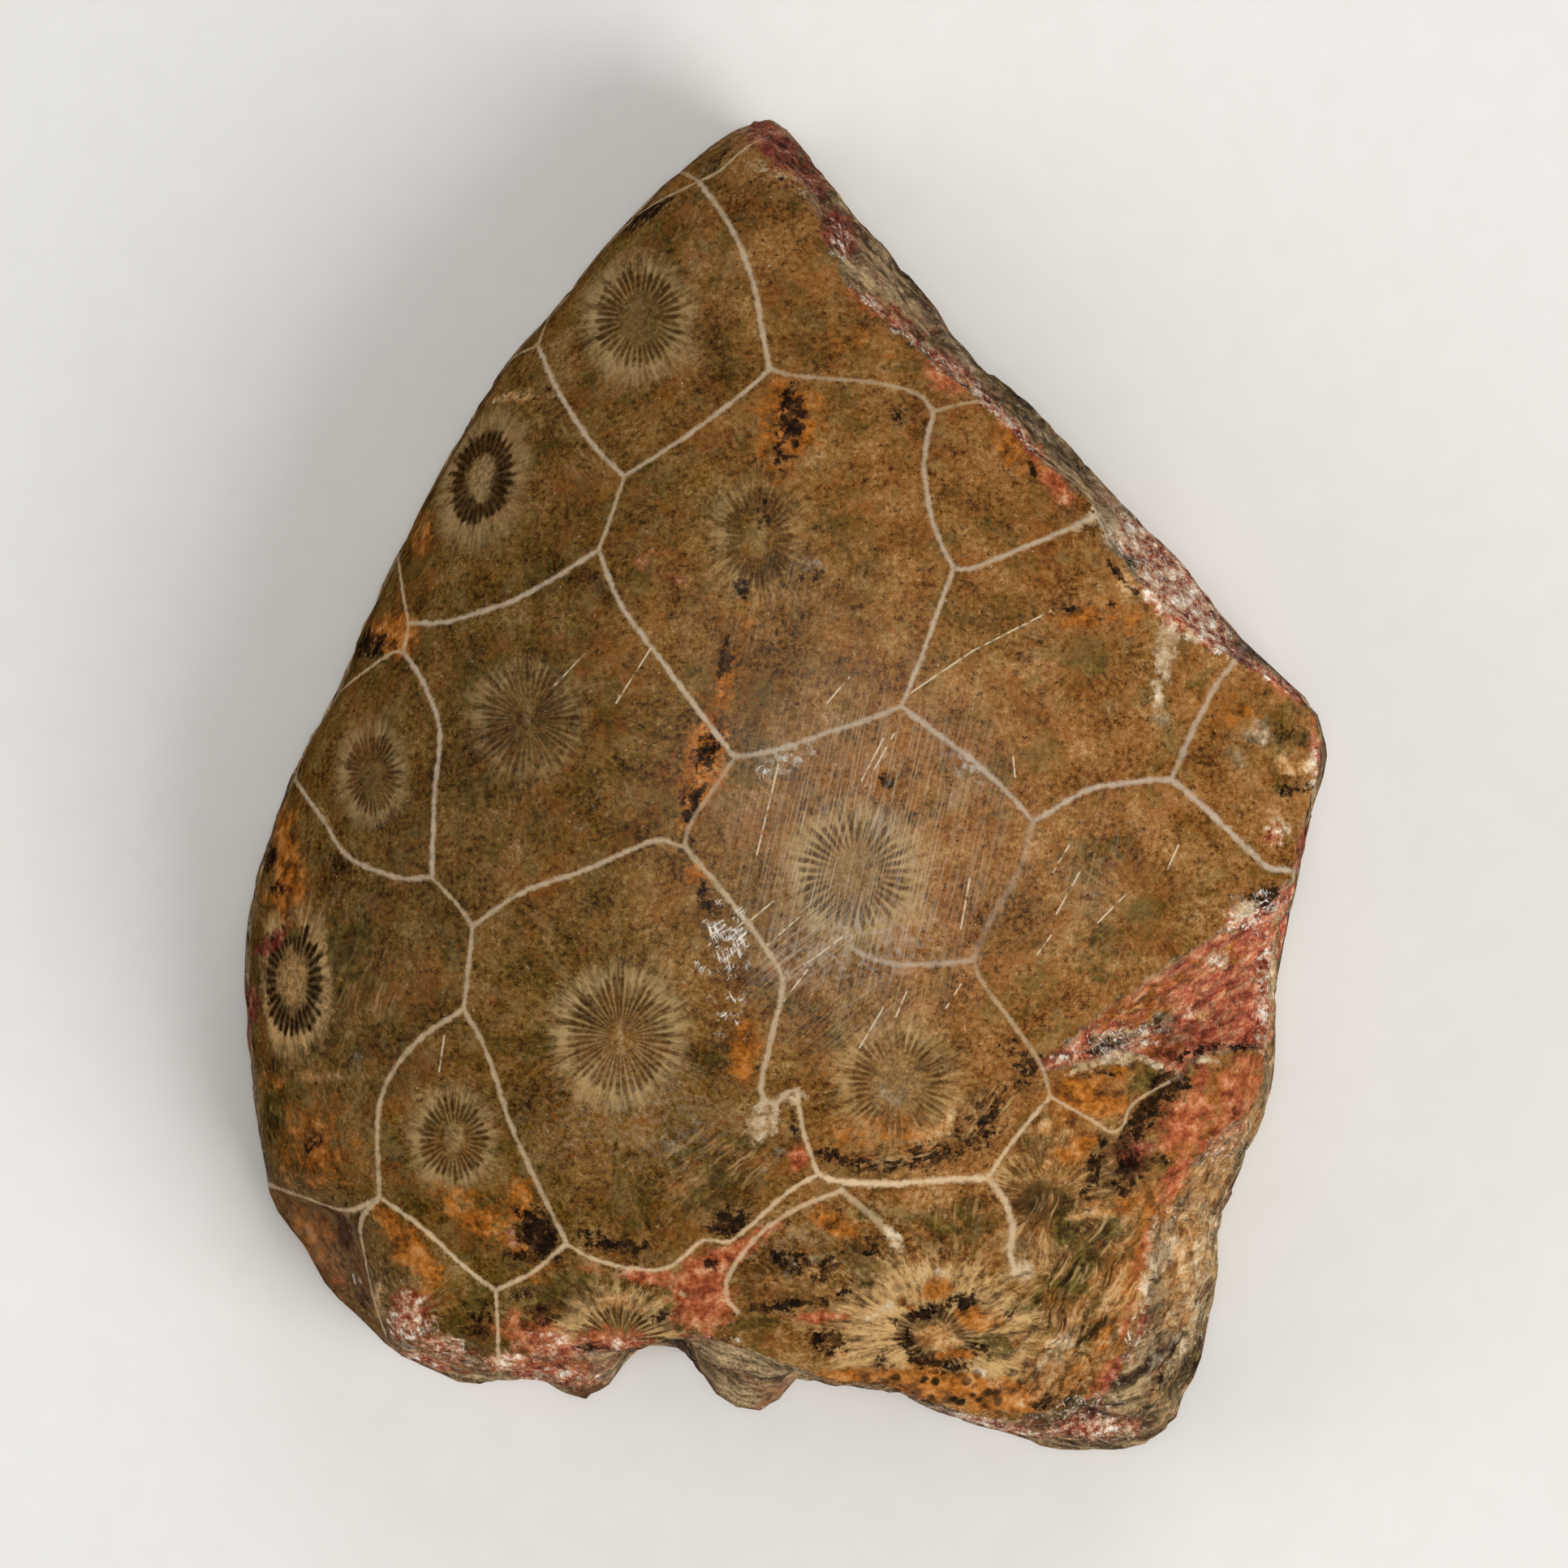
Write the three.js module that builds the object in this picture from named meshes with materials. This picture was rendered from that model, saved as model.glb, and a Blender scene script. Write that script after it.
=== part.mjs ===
// A slice of fossil colonial coral, cut flat on the back and polished to a low dome on the face.
// The stone is one solid. Its left side is ground round, its right and lower sides are broken rock,
// its lower left corner is ground off, and a shallow chip is missing from the face on the right.
// Millimetres, +Z up. The sawn back lies on z = 0, with the origin under the middle of the outline.
import * as THREE from "three";
import { ImprovedNoise } from "three/addons/math/ImprovedNoise.js";

// Driving dimensions
const CROWN = new THREE.Vector3(3, -1, 22); // the highest point of the polished dome
const DOME_RADIUS = 70; // the curve of the dome over most of the face
const ROLL_WIDTH = 1.5; // how wide the rounded edge is, as a share of how deep it rolls over
const RINGS = 30; // rings of triangles in the dome; ring k has 6k corners
const FLANK_STEPS = 10; // rows of triangles from the edge of the dome down to the back
const WIDEST_AT = 0.5; // where down the flank the stone is widest, as a share of its height
const TUCK = 0.9; // how far the foot stands in from the widest line

// The outline seen from above, anticlockwise. Each row is a point of the outline, how far in from it
// the polish ends, and how far the polished face rolls over below the curve of the dome by then.
const RIM = [
  // right corner
  [30.5, 1.6, 0.6, 0.3],
  [29.9, 4.1, 0.4, 0.3],
  [28.0, 6.0, 0.9, 0],
  // broken upper right side
  [25.5, 8.4, 1.9, 0],
  [22.6, 12.1, 2.7, 0],
  [20.0, 14.7, 2.4, 0],
  [17.7, 17.1, 1.3, 0],
  [15.3, 19.8, 2.1, 0],
  [12.8, 22.3, 2.0, 0],
  [8.6, 26.7, 2.9, 0],
  [5.3, 30.6, 4.0, 0],
  [3.3, 32.9, 3.5, 0.3],
  // peak
  [1.2, 35.6, 2.0, 0.8],
  [0.0, 37.0, 1.4, 1.2],
  [-1.0, 37.6, 1.0, 1.8],
  [-2.2, 37.2, 0.6, 3.0],
  [-5.7, 34.8, 0.3, 5.5],
  // rounded left side
  [-10.0, 30.5, 0.3, 7.5],
  [-13.3, 26.4, 0.3, 8.5],
  [-14.9, 24.7, 0.3, 8.7],
  [-16.2, 23.0, 0.3, 9.0],
  [-18.7, 18.9, 0.3, 9.5],
  [-21.1, 14.4, 0.3, 9.8],
  [-23.9, 8.7, 0.3, 10.5],
  [-25.2, 5.4, 0.3, 11.0],
  [-27.2, 1.9, 0.3, 11.0],
  [-28.7, -1.8, 0.3, 10.8],
  [-30.1, -6.4, 0.3, 10.2],
  [-30.5, -11.0, 0.3, 9.6],
  [-30.2, -16.0, 0.3, 8.6],
  [-29.4, -21.3, 0.3, 7.2],
  // lower left corner, ground off
  [-28.9, -23.6, 0.6, 6.0],
  [-28.1, -24.8, 1.6, 4.9],
  [-27.1, -26.0, 2.6, 3.9],
  [-25.7, -28.4, 2.6, 2.8],
  [-23.8, -30.2, 1.2, 2.1],
  [-21.8, -32.1, 0.7, 1.6],
  // broken lower side, with its lumps and the notch between them
  [-19.3, -33.1, 1.4, 1.4],
  [-16.4, -33.4, 0.8, 1.2],
  [-13.7, -33.6, 1.6, 1.0],
  [-11.0, -33.9, 2.4, 0.8],
  [-9.6, -33.4, 1.6, 0.6],
  [-8.2, -32.0, 0.4, 0.5],
  [-5.8, -32.5, 1.8, 0.3],
  [-4.4, -33.7, 2.8, 0],
  [-1.3, -34.3, 2.6, 0],
  [0.3, -33.9, 1.4, 0],
  [1.1, -33.2, 0.5, 0],
  [2.2, -33.8, 0.6, 0.2],
  [5.9, -34.2, 0.6, 0.4],
  [8.8, -35.4, 0.7, 0.5],
  [11.8, -36.4, 0.7, 0.5],
  // broken lower right corner, which shows the most bare rock
  [15.0, -37.4, 1.0, 0.3],
  [18.2, -37.5, 3.3, 0],
  [21.2, -36.8, 4.9, 0],
  [22.8, -33.9, 5.1, 0],
  [24.1, -30.4, 5.4, 0],
  [24.4, -27.0, 5.8, 0],
  [24.6, -24.3, 4.0, 0],
  [25.5, -22.0, 2.5, 0],
  [27.3, -17.5, 1.0, 0],
  // straight right side
  [27.8, -10.6, 0.7, 0],
  [28.7, -6.1, 0.7, 0],
  [29.8, -1.2, 0.6, 0.2],
];

// The chip in the face: its outline, anticlockwise, how deep it lies and how wide its sloping wall is
const CHIP = [
  [14.7, -15.8],
  [18.2, -15.0],
  [21.9, -16.6],
  [22.6, -15.1],
  [25.4, -14.5],
  [32.0, -14.6],
  [32.0, -4.2],
  [28.2, -5.6],
  [24.2, -8.4],
  [19.6, -11.3],
  [16.9, -13.6],
];
const CHIP_DEPTH = 1.2;
const CHIP_WALL = 1.6;

// Hollows (negative) and lumps (positive) of the broken side: middle, radius and how far they stand
const KNOBS = [
  { at: [-7.2, -31.5, 9.0], radius: 4.6, out: -3.0 },
  { at: [-1.8, -34.3, 7.0], radius: 3.4, out: 1.0 },
  { at: [-11.0, -34.0, 6.0], radius: 2.8, out: 0.8 },
  { at: [-17.5, -33.5, 5.5], radius: 2.8, out: 0.6 },
  { at: [2.6, -32.5, 9.5], radius: 2.6, out: -1.2 },
  { at: [24.0, -30.5, 9.5], radius: 3.6, out: -1.0 },
  { at: [25.0, -23.5, 5.0], radius: 3.0, out: 0.7 },
  { at: [11.0, 25.0, 8.0], radius: 3.4, out: -1.0 },
];

// Broken rock: height and spacing of its coarse and its finer relief
const BREAK_COARSE = { height: 1.2, spacing: 6 };
const BREAK_FINE = { height: 0.5, spacing: 2.4 };
const HAND_GROUND = { height: 0.2, spacing: 13 }; // faint waves that hand polishing leaves

// Slanting beds that break off as ledges: how thick a bed is, how far it steps back, and its slant
const BED = { thickness: 3.4, step: 0.9, slant: new THREE.Vector3(0.35, 0.25, 0.9).normalize() };

const noise = new ImprovedNoise();

// Relief of one kind at a point, between minus and plus its height
function relief(kind, x, y, z) {
  const s = 1 / kind.spacing;
  return kind.height * noise.noise(x * s + 7.3, y * s + 2.9, z * s + 5.1);
}

// The rim table as two closed curves that share one parameter
const outline = new THREE.CatmullRomCurve3(
  RIM.map(([x, y]) => new THREE.Vector3(x, y, 0)),
  true,
  "centripetal",
);
const edge = new THREE.CatmullRomCurve3(
  RIM.map(([, , brow, roll]) => new THREE.Vector3(brow, roll, 0)),
  true,
  "catmullrom",
  0.3,
);

// Everything known about the rim at a share u of the way round it
function rimAt(u) {
  const t = outline.getUtoTmapping(u);
  const widest = outline.getPoint(t);
  const { x: brow, y: roll } = edge.getPoint(t);
  const reach = Math.hypot(widest.x, widest.y);
  const polishEnds = widest.clone().multiplyScalar(1 - Math.max(brow, 0.2) / reach);
  const foot = widest.clone().multiplyScalar(1 - TUCK / reach);
  // Where the polish stops short of the outline the stone is broken; elsewhere it is ground smooth.
  const broken = 0.2 + 0.8 * THREE.MathUtils.smoothstep(brow, 0.3, 0.9);
  return { widest, polishEnds, foot, broken, roll: Math.max(roll, 0) };
}

// The edge of the polish as a closed polyline, to measure how near a point of the face is to it
const polishEdge = Array.from({ length: 12 * RINGS }, (_, i) => rimAt(i / (12 * RINGS)));

// The distance from a point to the stretch from a to b, and how far along the stretch is nearest
function toStretch(x, y, a, b) {
  const dx = b.x - a.x;
  const dy = b.y - a.y;
  const along = ((x - a.x) * dx + (y - a.y) * dy) / (dx * dx + dy * dy);
  const share = THREE.MathUtils.clamp(along, 0, 1);
  return { share, distance: Math.hypot(x - a.x - share * dx, y - a.y - share * dy) };
}

// How far the rounded edge lowers the face at a point
function rollDrop(x, y) {
  let drop = 0;
  let nearest = Infinity;
  polishEdge.forEach((a, i) => {
    const b = polishEdge[(i + 1) % polishEdge.length];
    const { share, distance } = toStretch(x, y, a.polishEnds, b.polishEnds);
    if (distance >= nearest) return;
    nearest = distance;
    const roll = THREE.MathUtils.lerp(a.roll, b.roll, share);
    const inward = Math.min(distance / (ROLL_WIDTH * roll + 1e-6), 1);
    drop = roll * (1 - Math.sqrt(1 - (1 - inward) ** 2));
  });
  return drop;
}

// How far a point lies inside the chip's outline; negative outside it
function depthInChip(x, y) {
  let nearest = Infinity;
  let inside = false;
  CHIP.forEach(([ax, ay], i) => {
    const [bx, by] = CHIP[(i + 1) % CHIP.length];
    nearest = Math.min(nearest, toStretch(x, y, { x: ax, y: ay }, { x: bx, y: by }).distance);
    if (ay > y !== by > y && x < ax + ((y - ay) * (bx - ax)) / (by - ay)) inside = !inside;
  });
  return inside ? nearest : -nearest;
}

// How much the chip lowers the face at a point
function chipDrop(x, y) {
  const share = THREE.MathUtils.smoothstep(depthInChip(x, y), 0, CHIP_WALL);
  return share * (CHIP_DEPTH + relief(BREAK_FINE, x, y, 0));
}

// A point of the polished dome: a share s of the way from the crown to the edge at u
function domePoint(u, s) {
  const { polishEnds, roll } = rimAt(u);
  // Rings crowd towards an edge that rolls over, because the face is steep there.
  const crowding = Math.min(roll / 6, 1);
  const t = THREE.MathUtils.lerp(s, Math.sin((s * Math.PI) / 2), crowding);
  const x = THREE.MathUtils.lerp(CROWN.x, polishEnds.x, t);
  const y = THREE.MathUtils.lerp(CROWN.y, polishEnds.y, t);
  const away = Math.hypot(x - CROWN.x, y - CROWN.y);
  const domed = DOME_RADIUS - Math.sqrt(DOME_RADIUS ** 2 - away ** 2);
  const wave = relief(HAND_GROUND, x, y, 0) * THREE.MathUtils.smoothstep(away, 0, 8);
  return new THREE.Vector3(x, y, CROWN.z - domed + wave - rollDrop(x, y) - chipDrop(x, y));
}

// A point of the flank: a share w of the way down from the edge of the dome to the back
function flankPoint(u, w) {
  const { widest, foot, broken } = rimAt(u);
  const top = domePoint(u, 1);
  const p = new THREE.Vector3();
  if (w <= WIDEST_AT) {
    p.lerpVectors(top, widest, Math.sin((w / WIDEST_AT) * (Math.PI / 2)));
  } else {
    const under = (w - WIDEST_AT) / (1 - WIDEST_AT);
    p.lerpVectors(widest, foot, 1 - Math.cos((under * Math.PI) / 2));
  }
  p.z = top.z * (1 - w);
  const out = new THREE.Vector3(p.x, p.y, 0).normalize();
  // The rock's relief only cuts inwards, and leaves the widest line and the foot where they are.
  const free = Math.abs(Math.sin((Math.PI * w) / WIDEST_AT)) * (w < 1 ? 1 : 0);
  const worn = relief(BREAK_COARSE, p.x, p.y, p.z) + relief(BREAK_FINE, p.x, p.y, p.z);
  const bed = p.dot(BED.slant) / BED.thickness;
  const ledge = BED.step * (bed - Math.floor(bed)) ** 2;
  let push = -free * broken * (Math.abs(worn) + ledge);
  for (const { at, radius, out: height } of KNOBS) {
    const near = 1 - Math.hypot(p.x - at[0], p.y - at[1], p.z - at[2]) / radius;
    if (near > 0 && w > 0 && w < 1) push += height * near * near * (3 - 2 * near);
  }
  return p.addScaledVector(out, push);
}

// Adds the dome to the mesh: one corner at the crown, then 6k corners on ring k. Gives its last ring.
function addDome(mesh) {
  const rings = [[mesh.corners.push(domePoint(0, 0)) - 1]];
  for (let k = 1; k <= RINGS; k++) {
    rings.push([]);
    for (let j = 0; j < 6 * k; j++) {
      rings[k].push(mesh.corners.push(domePoint(j / (6 * k), k / RINGS)) - 1);
    }
  }
  for (let k = 1; k <= RINGS; k++) {
    const inner = rings[k - 1];
    const outer = rings[k];
    for (let sector = 0; sector < 6; sector++) {
      for (let i = 0; i < k; i++) {
        const a = inner[(sector * (k - 1) + i) % inner.length];
        const b = outer[sector * k + i];
        const c = outer[(sector * k + i + 1) % outer.length];
        mesh.faces.push([a, b, c]);
        if (i < k - 1) mesh.faces.push([a, c, inner[(sector * (k - 1) + i + 1) % inner.length]]);
      }
    }
  }
  return rings[RINGS];
}

// Adds the flank below the edge of the dome, row by row, and gives the row at the foot
function addFlank(mesh, domeEdge) {
  const around = domeEdge.length;
  let upper = domeEdge;
  for (let row = 1; row <= FLANK_STEPS; row++) {
    const w = row / FLANK_STEPS;
    const lower = domeEdge.map((_, j) => mesh.corners.push(flankPoint(j / around, w)) - 1);
    for (let j = 0; j < around; j++) {
      const next = (j + 1) % around;
      mesh.faces.push([upper[j], lower[j], lower[next]], [upper[j], lower[next], upper[next]]);
    }
    upper = lower;
  }
  return upper;
}

// Closes the mesh with the flat sawn back, a fan from its middle to the foot of the flank
function addBack(mesh, foot) {
  const middle = mesh.corners.push(new THREE.Vector3(0, 0, 0)) - 1;
  foot.forEach((corner, j) => mesh.faces.push([middle, foot[(j + 1) % foot.length], corner]));
}

// The whole stone as one closed geometry
function stoneGeometry() {
  const mesh = { corners: [], faces: [] };
  const domeEdge = addDome(mesh);
  const foot = addFlank(mesh, domeEdge);
  addBack(mesh, foot);
  const geometry = new THREE.BufferGeometry().setFromPoints(mesh.corners);
  geometry.setIndex(mesh.faces.flat());
  geometry.computeVertexNormals();
  return geometry;
}

// Fossil limestone, brown and iron-stained, with a soft polish
const stone = new THREE.MeshStandardMaterial({ color: 0x6b4e2c, roughness: 0.35, metalness: 0 });

const slice = new THREE.Mesh(stoneGeometry(), stone);
slice.name = "fossil_coral_slice";

const group = new THREE.Group();
group.add(slice);

export default group;
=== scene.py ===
import heapq
import math

import bmesh
import bpy
import numpy as np
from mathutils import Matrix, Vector, noise


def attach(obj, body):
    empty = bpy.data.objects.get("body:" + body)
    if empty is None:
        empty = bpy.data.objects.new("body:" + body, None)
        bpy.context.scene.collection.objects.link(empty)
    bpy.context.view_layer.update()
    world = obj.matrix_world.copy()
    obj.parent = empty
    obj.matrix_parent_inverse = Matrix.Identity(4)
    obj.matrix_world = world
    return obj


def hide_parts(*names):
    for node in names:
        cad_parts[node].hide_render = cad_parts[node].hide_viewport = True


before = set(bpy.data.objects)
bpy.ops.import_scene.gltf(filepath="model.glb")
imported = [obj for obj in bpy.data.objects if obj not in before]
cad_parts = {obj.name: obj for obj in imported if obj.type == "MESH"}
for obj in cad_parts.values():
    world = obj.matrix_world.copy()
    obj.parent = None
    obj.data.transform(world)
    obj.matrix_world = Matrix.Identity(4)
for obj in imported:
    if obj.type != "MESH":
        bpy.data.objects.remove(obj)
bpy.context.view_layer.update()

# The stone: a slice of a colonial coral whose skeleton has turned to limestone, stained by iron and
# manganese. It was sawn flat on the back, and its face was ground to a low dome and polished. The right
# and lower sides are broken rock, and a shallow chip is missing from the face on the right.
STONE = "fossil_coral_slice"
MM = 0.001
BACK_GRID = 1.0  # spacing of the mesh across the sawn back, in mm, as every size and place on the stone
LONGEST_EDGE = 0.62  # edges longer than this are halved on the face and the sides
POLISH_FOOT = 4.0  # how far above the back the polish ends on the rounded left side
BROKEN_FOOT = 12.0  # and on the broken sides, where it never comes this low

# The edge of the polish seen from above, anticlockwise; on the left it runs past the outline, because
# the polish goes round that side.
POLISHED = [
    (-28.9, -22.5), (-27.0, -23.1), (-25.4, -23.6), (-24.2, -24.4), (-23.5, -26.5), (-22.8, -29.0),
    (-22.5, -31.0), (-20.0, -31.9), (-18.1, -31.8), (-16.0, -32.7), (-13.4, -32.0), (-11.3, -31.4),
    (-8.2, -31.8), (-6.8, -31.6), (-5.0, -30.6), (-3.0, -31.2), (-1.6, -31.7), (0.2, -32.5), (1.2, -33.3),
    (4.5, -33.8), (8.6, -34.8), (12.0, -35.8), (15.2, -36.4), (15.9, -35.0), (17.8, -34.0), (18.8, -32.5),
    (19.7, -30.6), (20.3, -28.6), (20.4, -26.1), (21.6, -23.9), (22.8, -22.0), (24.7, -19.7), (26.5, -17.3),
    (27.4, -14.0), (27.6, -10.0), (28.3, -5.6), (29.4, -1.2), (30.0, 1.6), (29.4, 4.2), (27.9, 5.5),
    (26.0, 6.4), (24.4, 7.4), (22.5, 8.5), (20.6, 10.4), (19.3, 12.0), (18.5, 15.0), (16.2, 16.2),
    (13.9, 18.3), (12.0, 20.4), (10.1, 22.1), (8.0, 23.9), (5.9, 26.0), (3.9, 27.3), (2.8, 29.4),
    (2.3, 31.7), (1.1, 33.6), (-0.4, 35.5), (-2.2, 36.6), (-6.0, 38.0), (-18.0, 32.0), (-28.0, 15.0),
    (-34.0, 2.0), (-35.0, -12.0), (-33.0, -22.0),
]

# The left side and the lower left corner, where the polish goes round
ROUNDED_SIDE = [(1.5, 40.0), (-40.0, 40.0), (-40.0, -34.5), (-14.0, -34.5), (-14.0, -28.0), (-24.0, -20.0)]

# The chip, anticlockwise, and the corner at the lower left that was ground off
CHIP = [
    (14.7, -15.7), (17.4, -15.3), (19.7, -15.2), (22.0, -16.6), (22.5, -15.2), (25.6, -14.5), (32.0, -14.6),
    (32.0, -4.4), (28.4, -5.4), (24.2, -8.3), (19.7, -11.3), (16.9, -13.4),
]
GROUND = [
    (-31.0, -21.8), (-28.9, -22.5), (-27.0, -23.1), (-25.4, -23.6), (-24.2, -24.4), (-23.5, -26.5),
    (-22.8, -29.0), (-22.4, -30.6), (-23.6, -32.5), (-33.0, -32.0),
]

# Pits in the polished face: middle, radius and depth
PITS = [
    (19.4, -21.6, 0.7, 0.25), (20.6, -17.8, 0.8, 0.15), (17.7, -19.9, 0.45, 0.15), (18.8, -22.5, 0.45, 0.15),
    (5.8, 0.2, 0.55, 0.35), (0.5, -19.0, 0.35, 0.3), (-2.3, 10.8, 0.45, 0.3), (13.9, 17.3, 0.4, 0.4),
    (-4.3, 2.1, 0.5, 0.35), (-4.4, 1.0, 0.45, 0.3), (13.4, -27.1, 0.4, 0.2), (28.3, 2.7, 0.7, 0.25),
]


def copy_of_solid(name):
    """The solid's mesh with its loose triangles joined, its back as one face."""
    form = bmesh.new()
    form.from_mesh(bpy.data.objects[name].data)
    bmesh.ops.remove_doubles(form, verts=form.verts, dist=0.001 * MM)
    back = [face for face in form.faces if face.normal.z < -0.99 and face.calc_center_median().z < 0.01 * MM]
    for face in back:
        face.material_index = 1
    bmesh.ops.dissolve_faces(form, faces=back, use_verts=False)
    return form


def cut_back(form):
    """Cut the flat back into small squares, so that its markings can follow it."""
    for axis, (low, high) in enumerate(((-32, 32), (-39, 39))):
        side = Vector((axis == 0, axis == 1, 0))
        for step in np.arange(low, high, BACK_GRID):
            faces = [face for face in form.faces if face.material_index == 1]
            around = {edge for face in faces for edge in face.edges}
            cut = side * float(step) * MM
            bmesh.ops.bisect_plane(
                form, geom=faces + list(around), dist=0.001 * MM, plane_co=cut, plane_no=side
            )


def halve_long_edges(form, rounds):
    """Halve the face's and the sides' long edges, a few times over."""
    for _ in range(rounds):
        bmesh.ops.triangulate(form, faces=[face for face in form.faces if len(face.verts) > 3])
        outer = {edge for face in form.faces if face.material_index == 0 for edge in face.edges}
        long_edges = [edge for edge in outer if edge.calc_length() > LONGEST_EDGE * MM]
        bmesh.ops.subdivide_edges(form, edges=long_edges, cuts=1, use_grid_fill=True)
    bmesh.ops.triangulate(form, faces=[face for face in form.faces if len(face.verts) > 3])


def distance_to_line(points, line):
    """Place of each point beside a run of points, in plan: its distance, how far it is to the left, how
    far it is past the nearer end (less than nothing beside the line), and the direction to the left."""
    best = np.full(len(points), 1e9)
    left = np.zeros(len(points))
    past = np.zeros(len(points))
    leftwards = np.zeros((len(points), 2))
    spans = np.hypot(*np.diff(line, axis=0).T)
    for index, (start, end, span) in enumerate(zip(line[:-1], line[1:], spans)):
        along = (end - start) / span
        ahead = (points - start) @ along
        held = np.clip(ahead, 0, span)
        away = points - (start + held[:, None] * along)
        distance = np.hypot(away[:, 0], away[:, 1])
        nearer = distance < best
        turn = np.array((-along[1], along[0]))
        offset = (points - start) @ turn
        inner = (ahead >= 0) & (ahead <= span)
        first_end = np.where((index == 0) | inner, -ahead, 0) - spans[:index].sum()
        last_end = np.where((index == len(spans) - 1) | inner, ahead - span, 0) - spans[index + 1:].sum()
        outer = ~inner & (np.maximum(first_end, last_end) > 0)
        side = np.where(inner | outer, offset, np.sign(offset) * distance)
        best = np.where(nearer, distance, best)
        left = np.where(nearer, side, left)
        past = np.where(nearer, np.maximum(first_end, last_end), past)
        leftwards = np.where(nearer[:, None], turn, leftwards)
    return best, left, past, leftwards


def depth_inside(points, outline):
    """How far inside an outline each point is; less than nothing outside it."""
    ring = np.array(outline + outline[:1])
    distance = distance_to_line(points, ring)[0]
    inside = np.zeros(len(points), bool)
    for (x0, y0), (x1, y1) in zip(ring[:-1], ring[1:]):
        spans = (y0 > points[:, 1]) != (y1 > points[:, 1])
        rise = y1 - y0 if y1 != y0 else 1e-9
        inside ^= spans & (points[:, 0] < (x1 - x0) * (points[:, 1] - y0) / rise + x0)
    return np.where(inside, distance, -distance)


def places(form):
    """The mesh's points, in mm, and their normals."""
    form.normal_update()
    points = np.array([vert.co for vert in form.verts]) / MM
    return points, np.array([vert.normal for vert in form.verts])


def polish_depth(points, normals):
    """How far each point is inside the polished area, measured along the surface in mm."""
    inside = depth_inside(points[:, :2], POLISHED)
    left = depth_inside(points[:, :2], ROUNDED_SIDE)
    foot = np.where(left > 0, POLISH_FOOT, BROKEN_FOOT)
    steep = np.where(left > 0, 9.0, (normals[:, 2] - 0.45) * 3)
    return np.minimum(np.minimum(inside, points[:, 2] - foot), steep)


def evened(form, points, moving, rounds):
    """The points with their facets evened out where they may move. Every second round pushes them out
    again as far as the round before drew them in, so that the form keeps its size."""
    form.verts.index_update()
    links = np.array([[vert.index for vert in edge.verts] for edge in form.edges])
    count = np.bincount(links.reshape(-1), minlength=len(points))[:, None]
    for turn in range(rounds):
        total = np.zeros_like(points)
        np.add.at(total, links[:, 0], points[links[:, 1]])
        np.add.at(total, links[:, 1], points[links[:, 0]])
        share = 0.5 if turn % 2 == 0 else -0.52
        points = points + share * moving[:, None] * (total / count - points)
    return points


def fractal(points, size, seed, octaves=3):
    """Rough noise at each point, about -1 to 1, with lumps of a size in mm."""
    shift = Vector((seed * 17.3, seed * 5.1, seed * 9.7))
    return np.array([noise.fractal(Vector(p) / size + shift, 0.9, 2.1, octaves) for p in points])


def eased(value, low, high):
    """0 below low, 1 above high and a smooth rise between them."""
    share = np.clip((value - low) / (high - low), 0, 1)
    return share * share * (3 - 2 * share)


def weather(points, normals, polish):
    """Press the points in where rock is broken, worn or pitted. Nothing is pushed out."""
    plan = points[:, :2]
    raw = eased(-polish, 0.0, 0.7) * eased(points[:, 2], 0.0, 0.6)
    ground = eased(depth_inside(plan, GROUND), -0.4, 0.6)
    broken = raw * (1 - 0.92 * ground)
    lumps = fractal(points, 2.6, 1) + 0.5 * fractal(points, 0.8, 2)
    slabs = np.abs(fractal(points @ np.diag((0.35, 0.35, 1.0)), 1.1, 3))
    inwards = broken * (0.20 * lumps + 0.28 * slabs - 0.05)
    crest = np.exp(-((polish + 0.15) / 0.45) ** 2) * (1 - 0.8 * ground) * (points[:, 2] > BROKEN_FOOT)
    inwards += crest * 0.50 * np.clip(fractal(points, 1.5, 4), 0, 1)
    chip = eased(depth_inside(plan, CHIP), 0.2, 1.2) * eased(normals[:, 2], 0.1, 0.6)
    inwards += chip * (0.16 + 0.20 * fractal(points, 1.3, 5) + 0.12 * fractal(points, 0.5, 6, 2))
    for x, y, radius, depth in PITS:
        away = np.hypot(points[:, 0] - x, points[:, 1] - y) / radius
        inwards += depth * (1 - eased(away, 0.35, 1.05)) * (normals[:, 2] > 0.5)
    return points - normals * np.clip(inwards, 0, None)[:, None]


def placed(name, data):
    """A new object in the scene with its mesh, lamp or camera."""
    made = bpy.data.objects.new(name, data)
    bpy.context.scene.collection.objects.link(made)
    return made


form = copy_of_solid(STONE)
cut_back(form)
halve_long_edges(form, 3)
points, normals = places(form)
polish = polish_depth(points, normals)
for vert, place in zip(form.verts, evened(form, points, eased(polish, 0.0, 0.6), 24) * MM):
    vert.co = place
points, normals = places(form)
polish = polish_depth(points, normals)
worn = weather(points, normals, polish)
for vert, place in zip(form.verts, worn * MM):
    vert.co = place
form.normal_update()
for edge in form.edges:
    edge.smooth = edge.calc_face_angle(0) < math.radians(50)
for face in form.faces:
    face.smooth = True
    face.material_index = 0
slice_mesh = bpy.data.meshes.new("polished_slice")
form.to_mesh(slice_mesh)
form.free()
stone = placed("polished_slice", slice_mesh)

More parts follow.
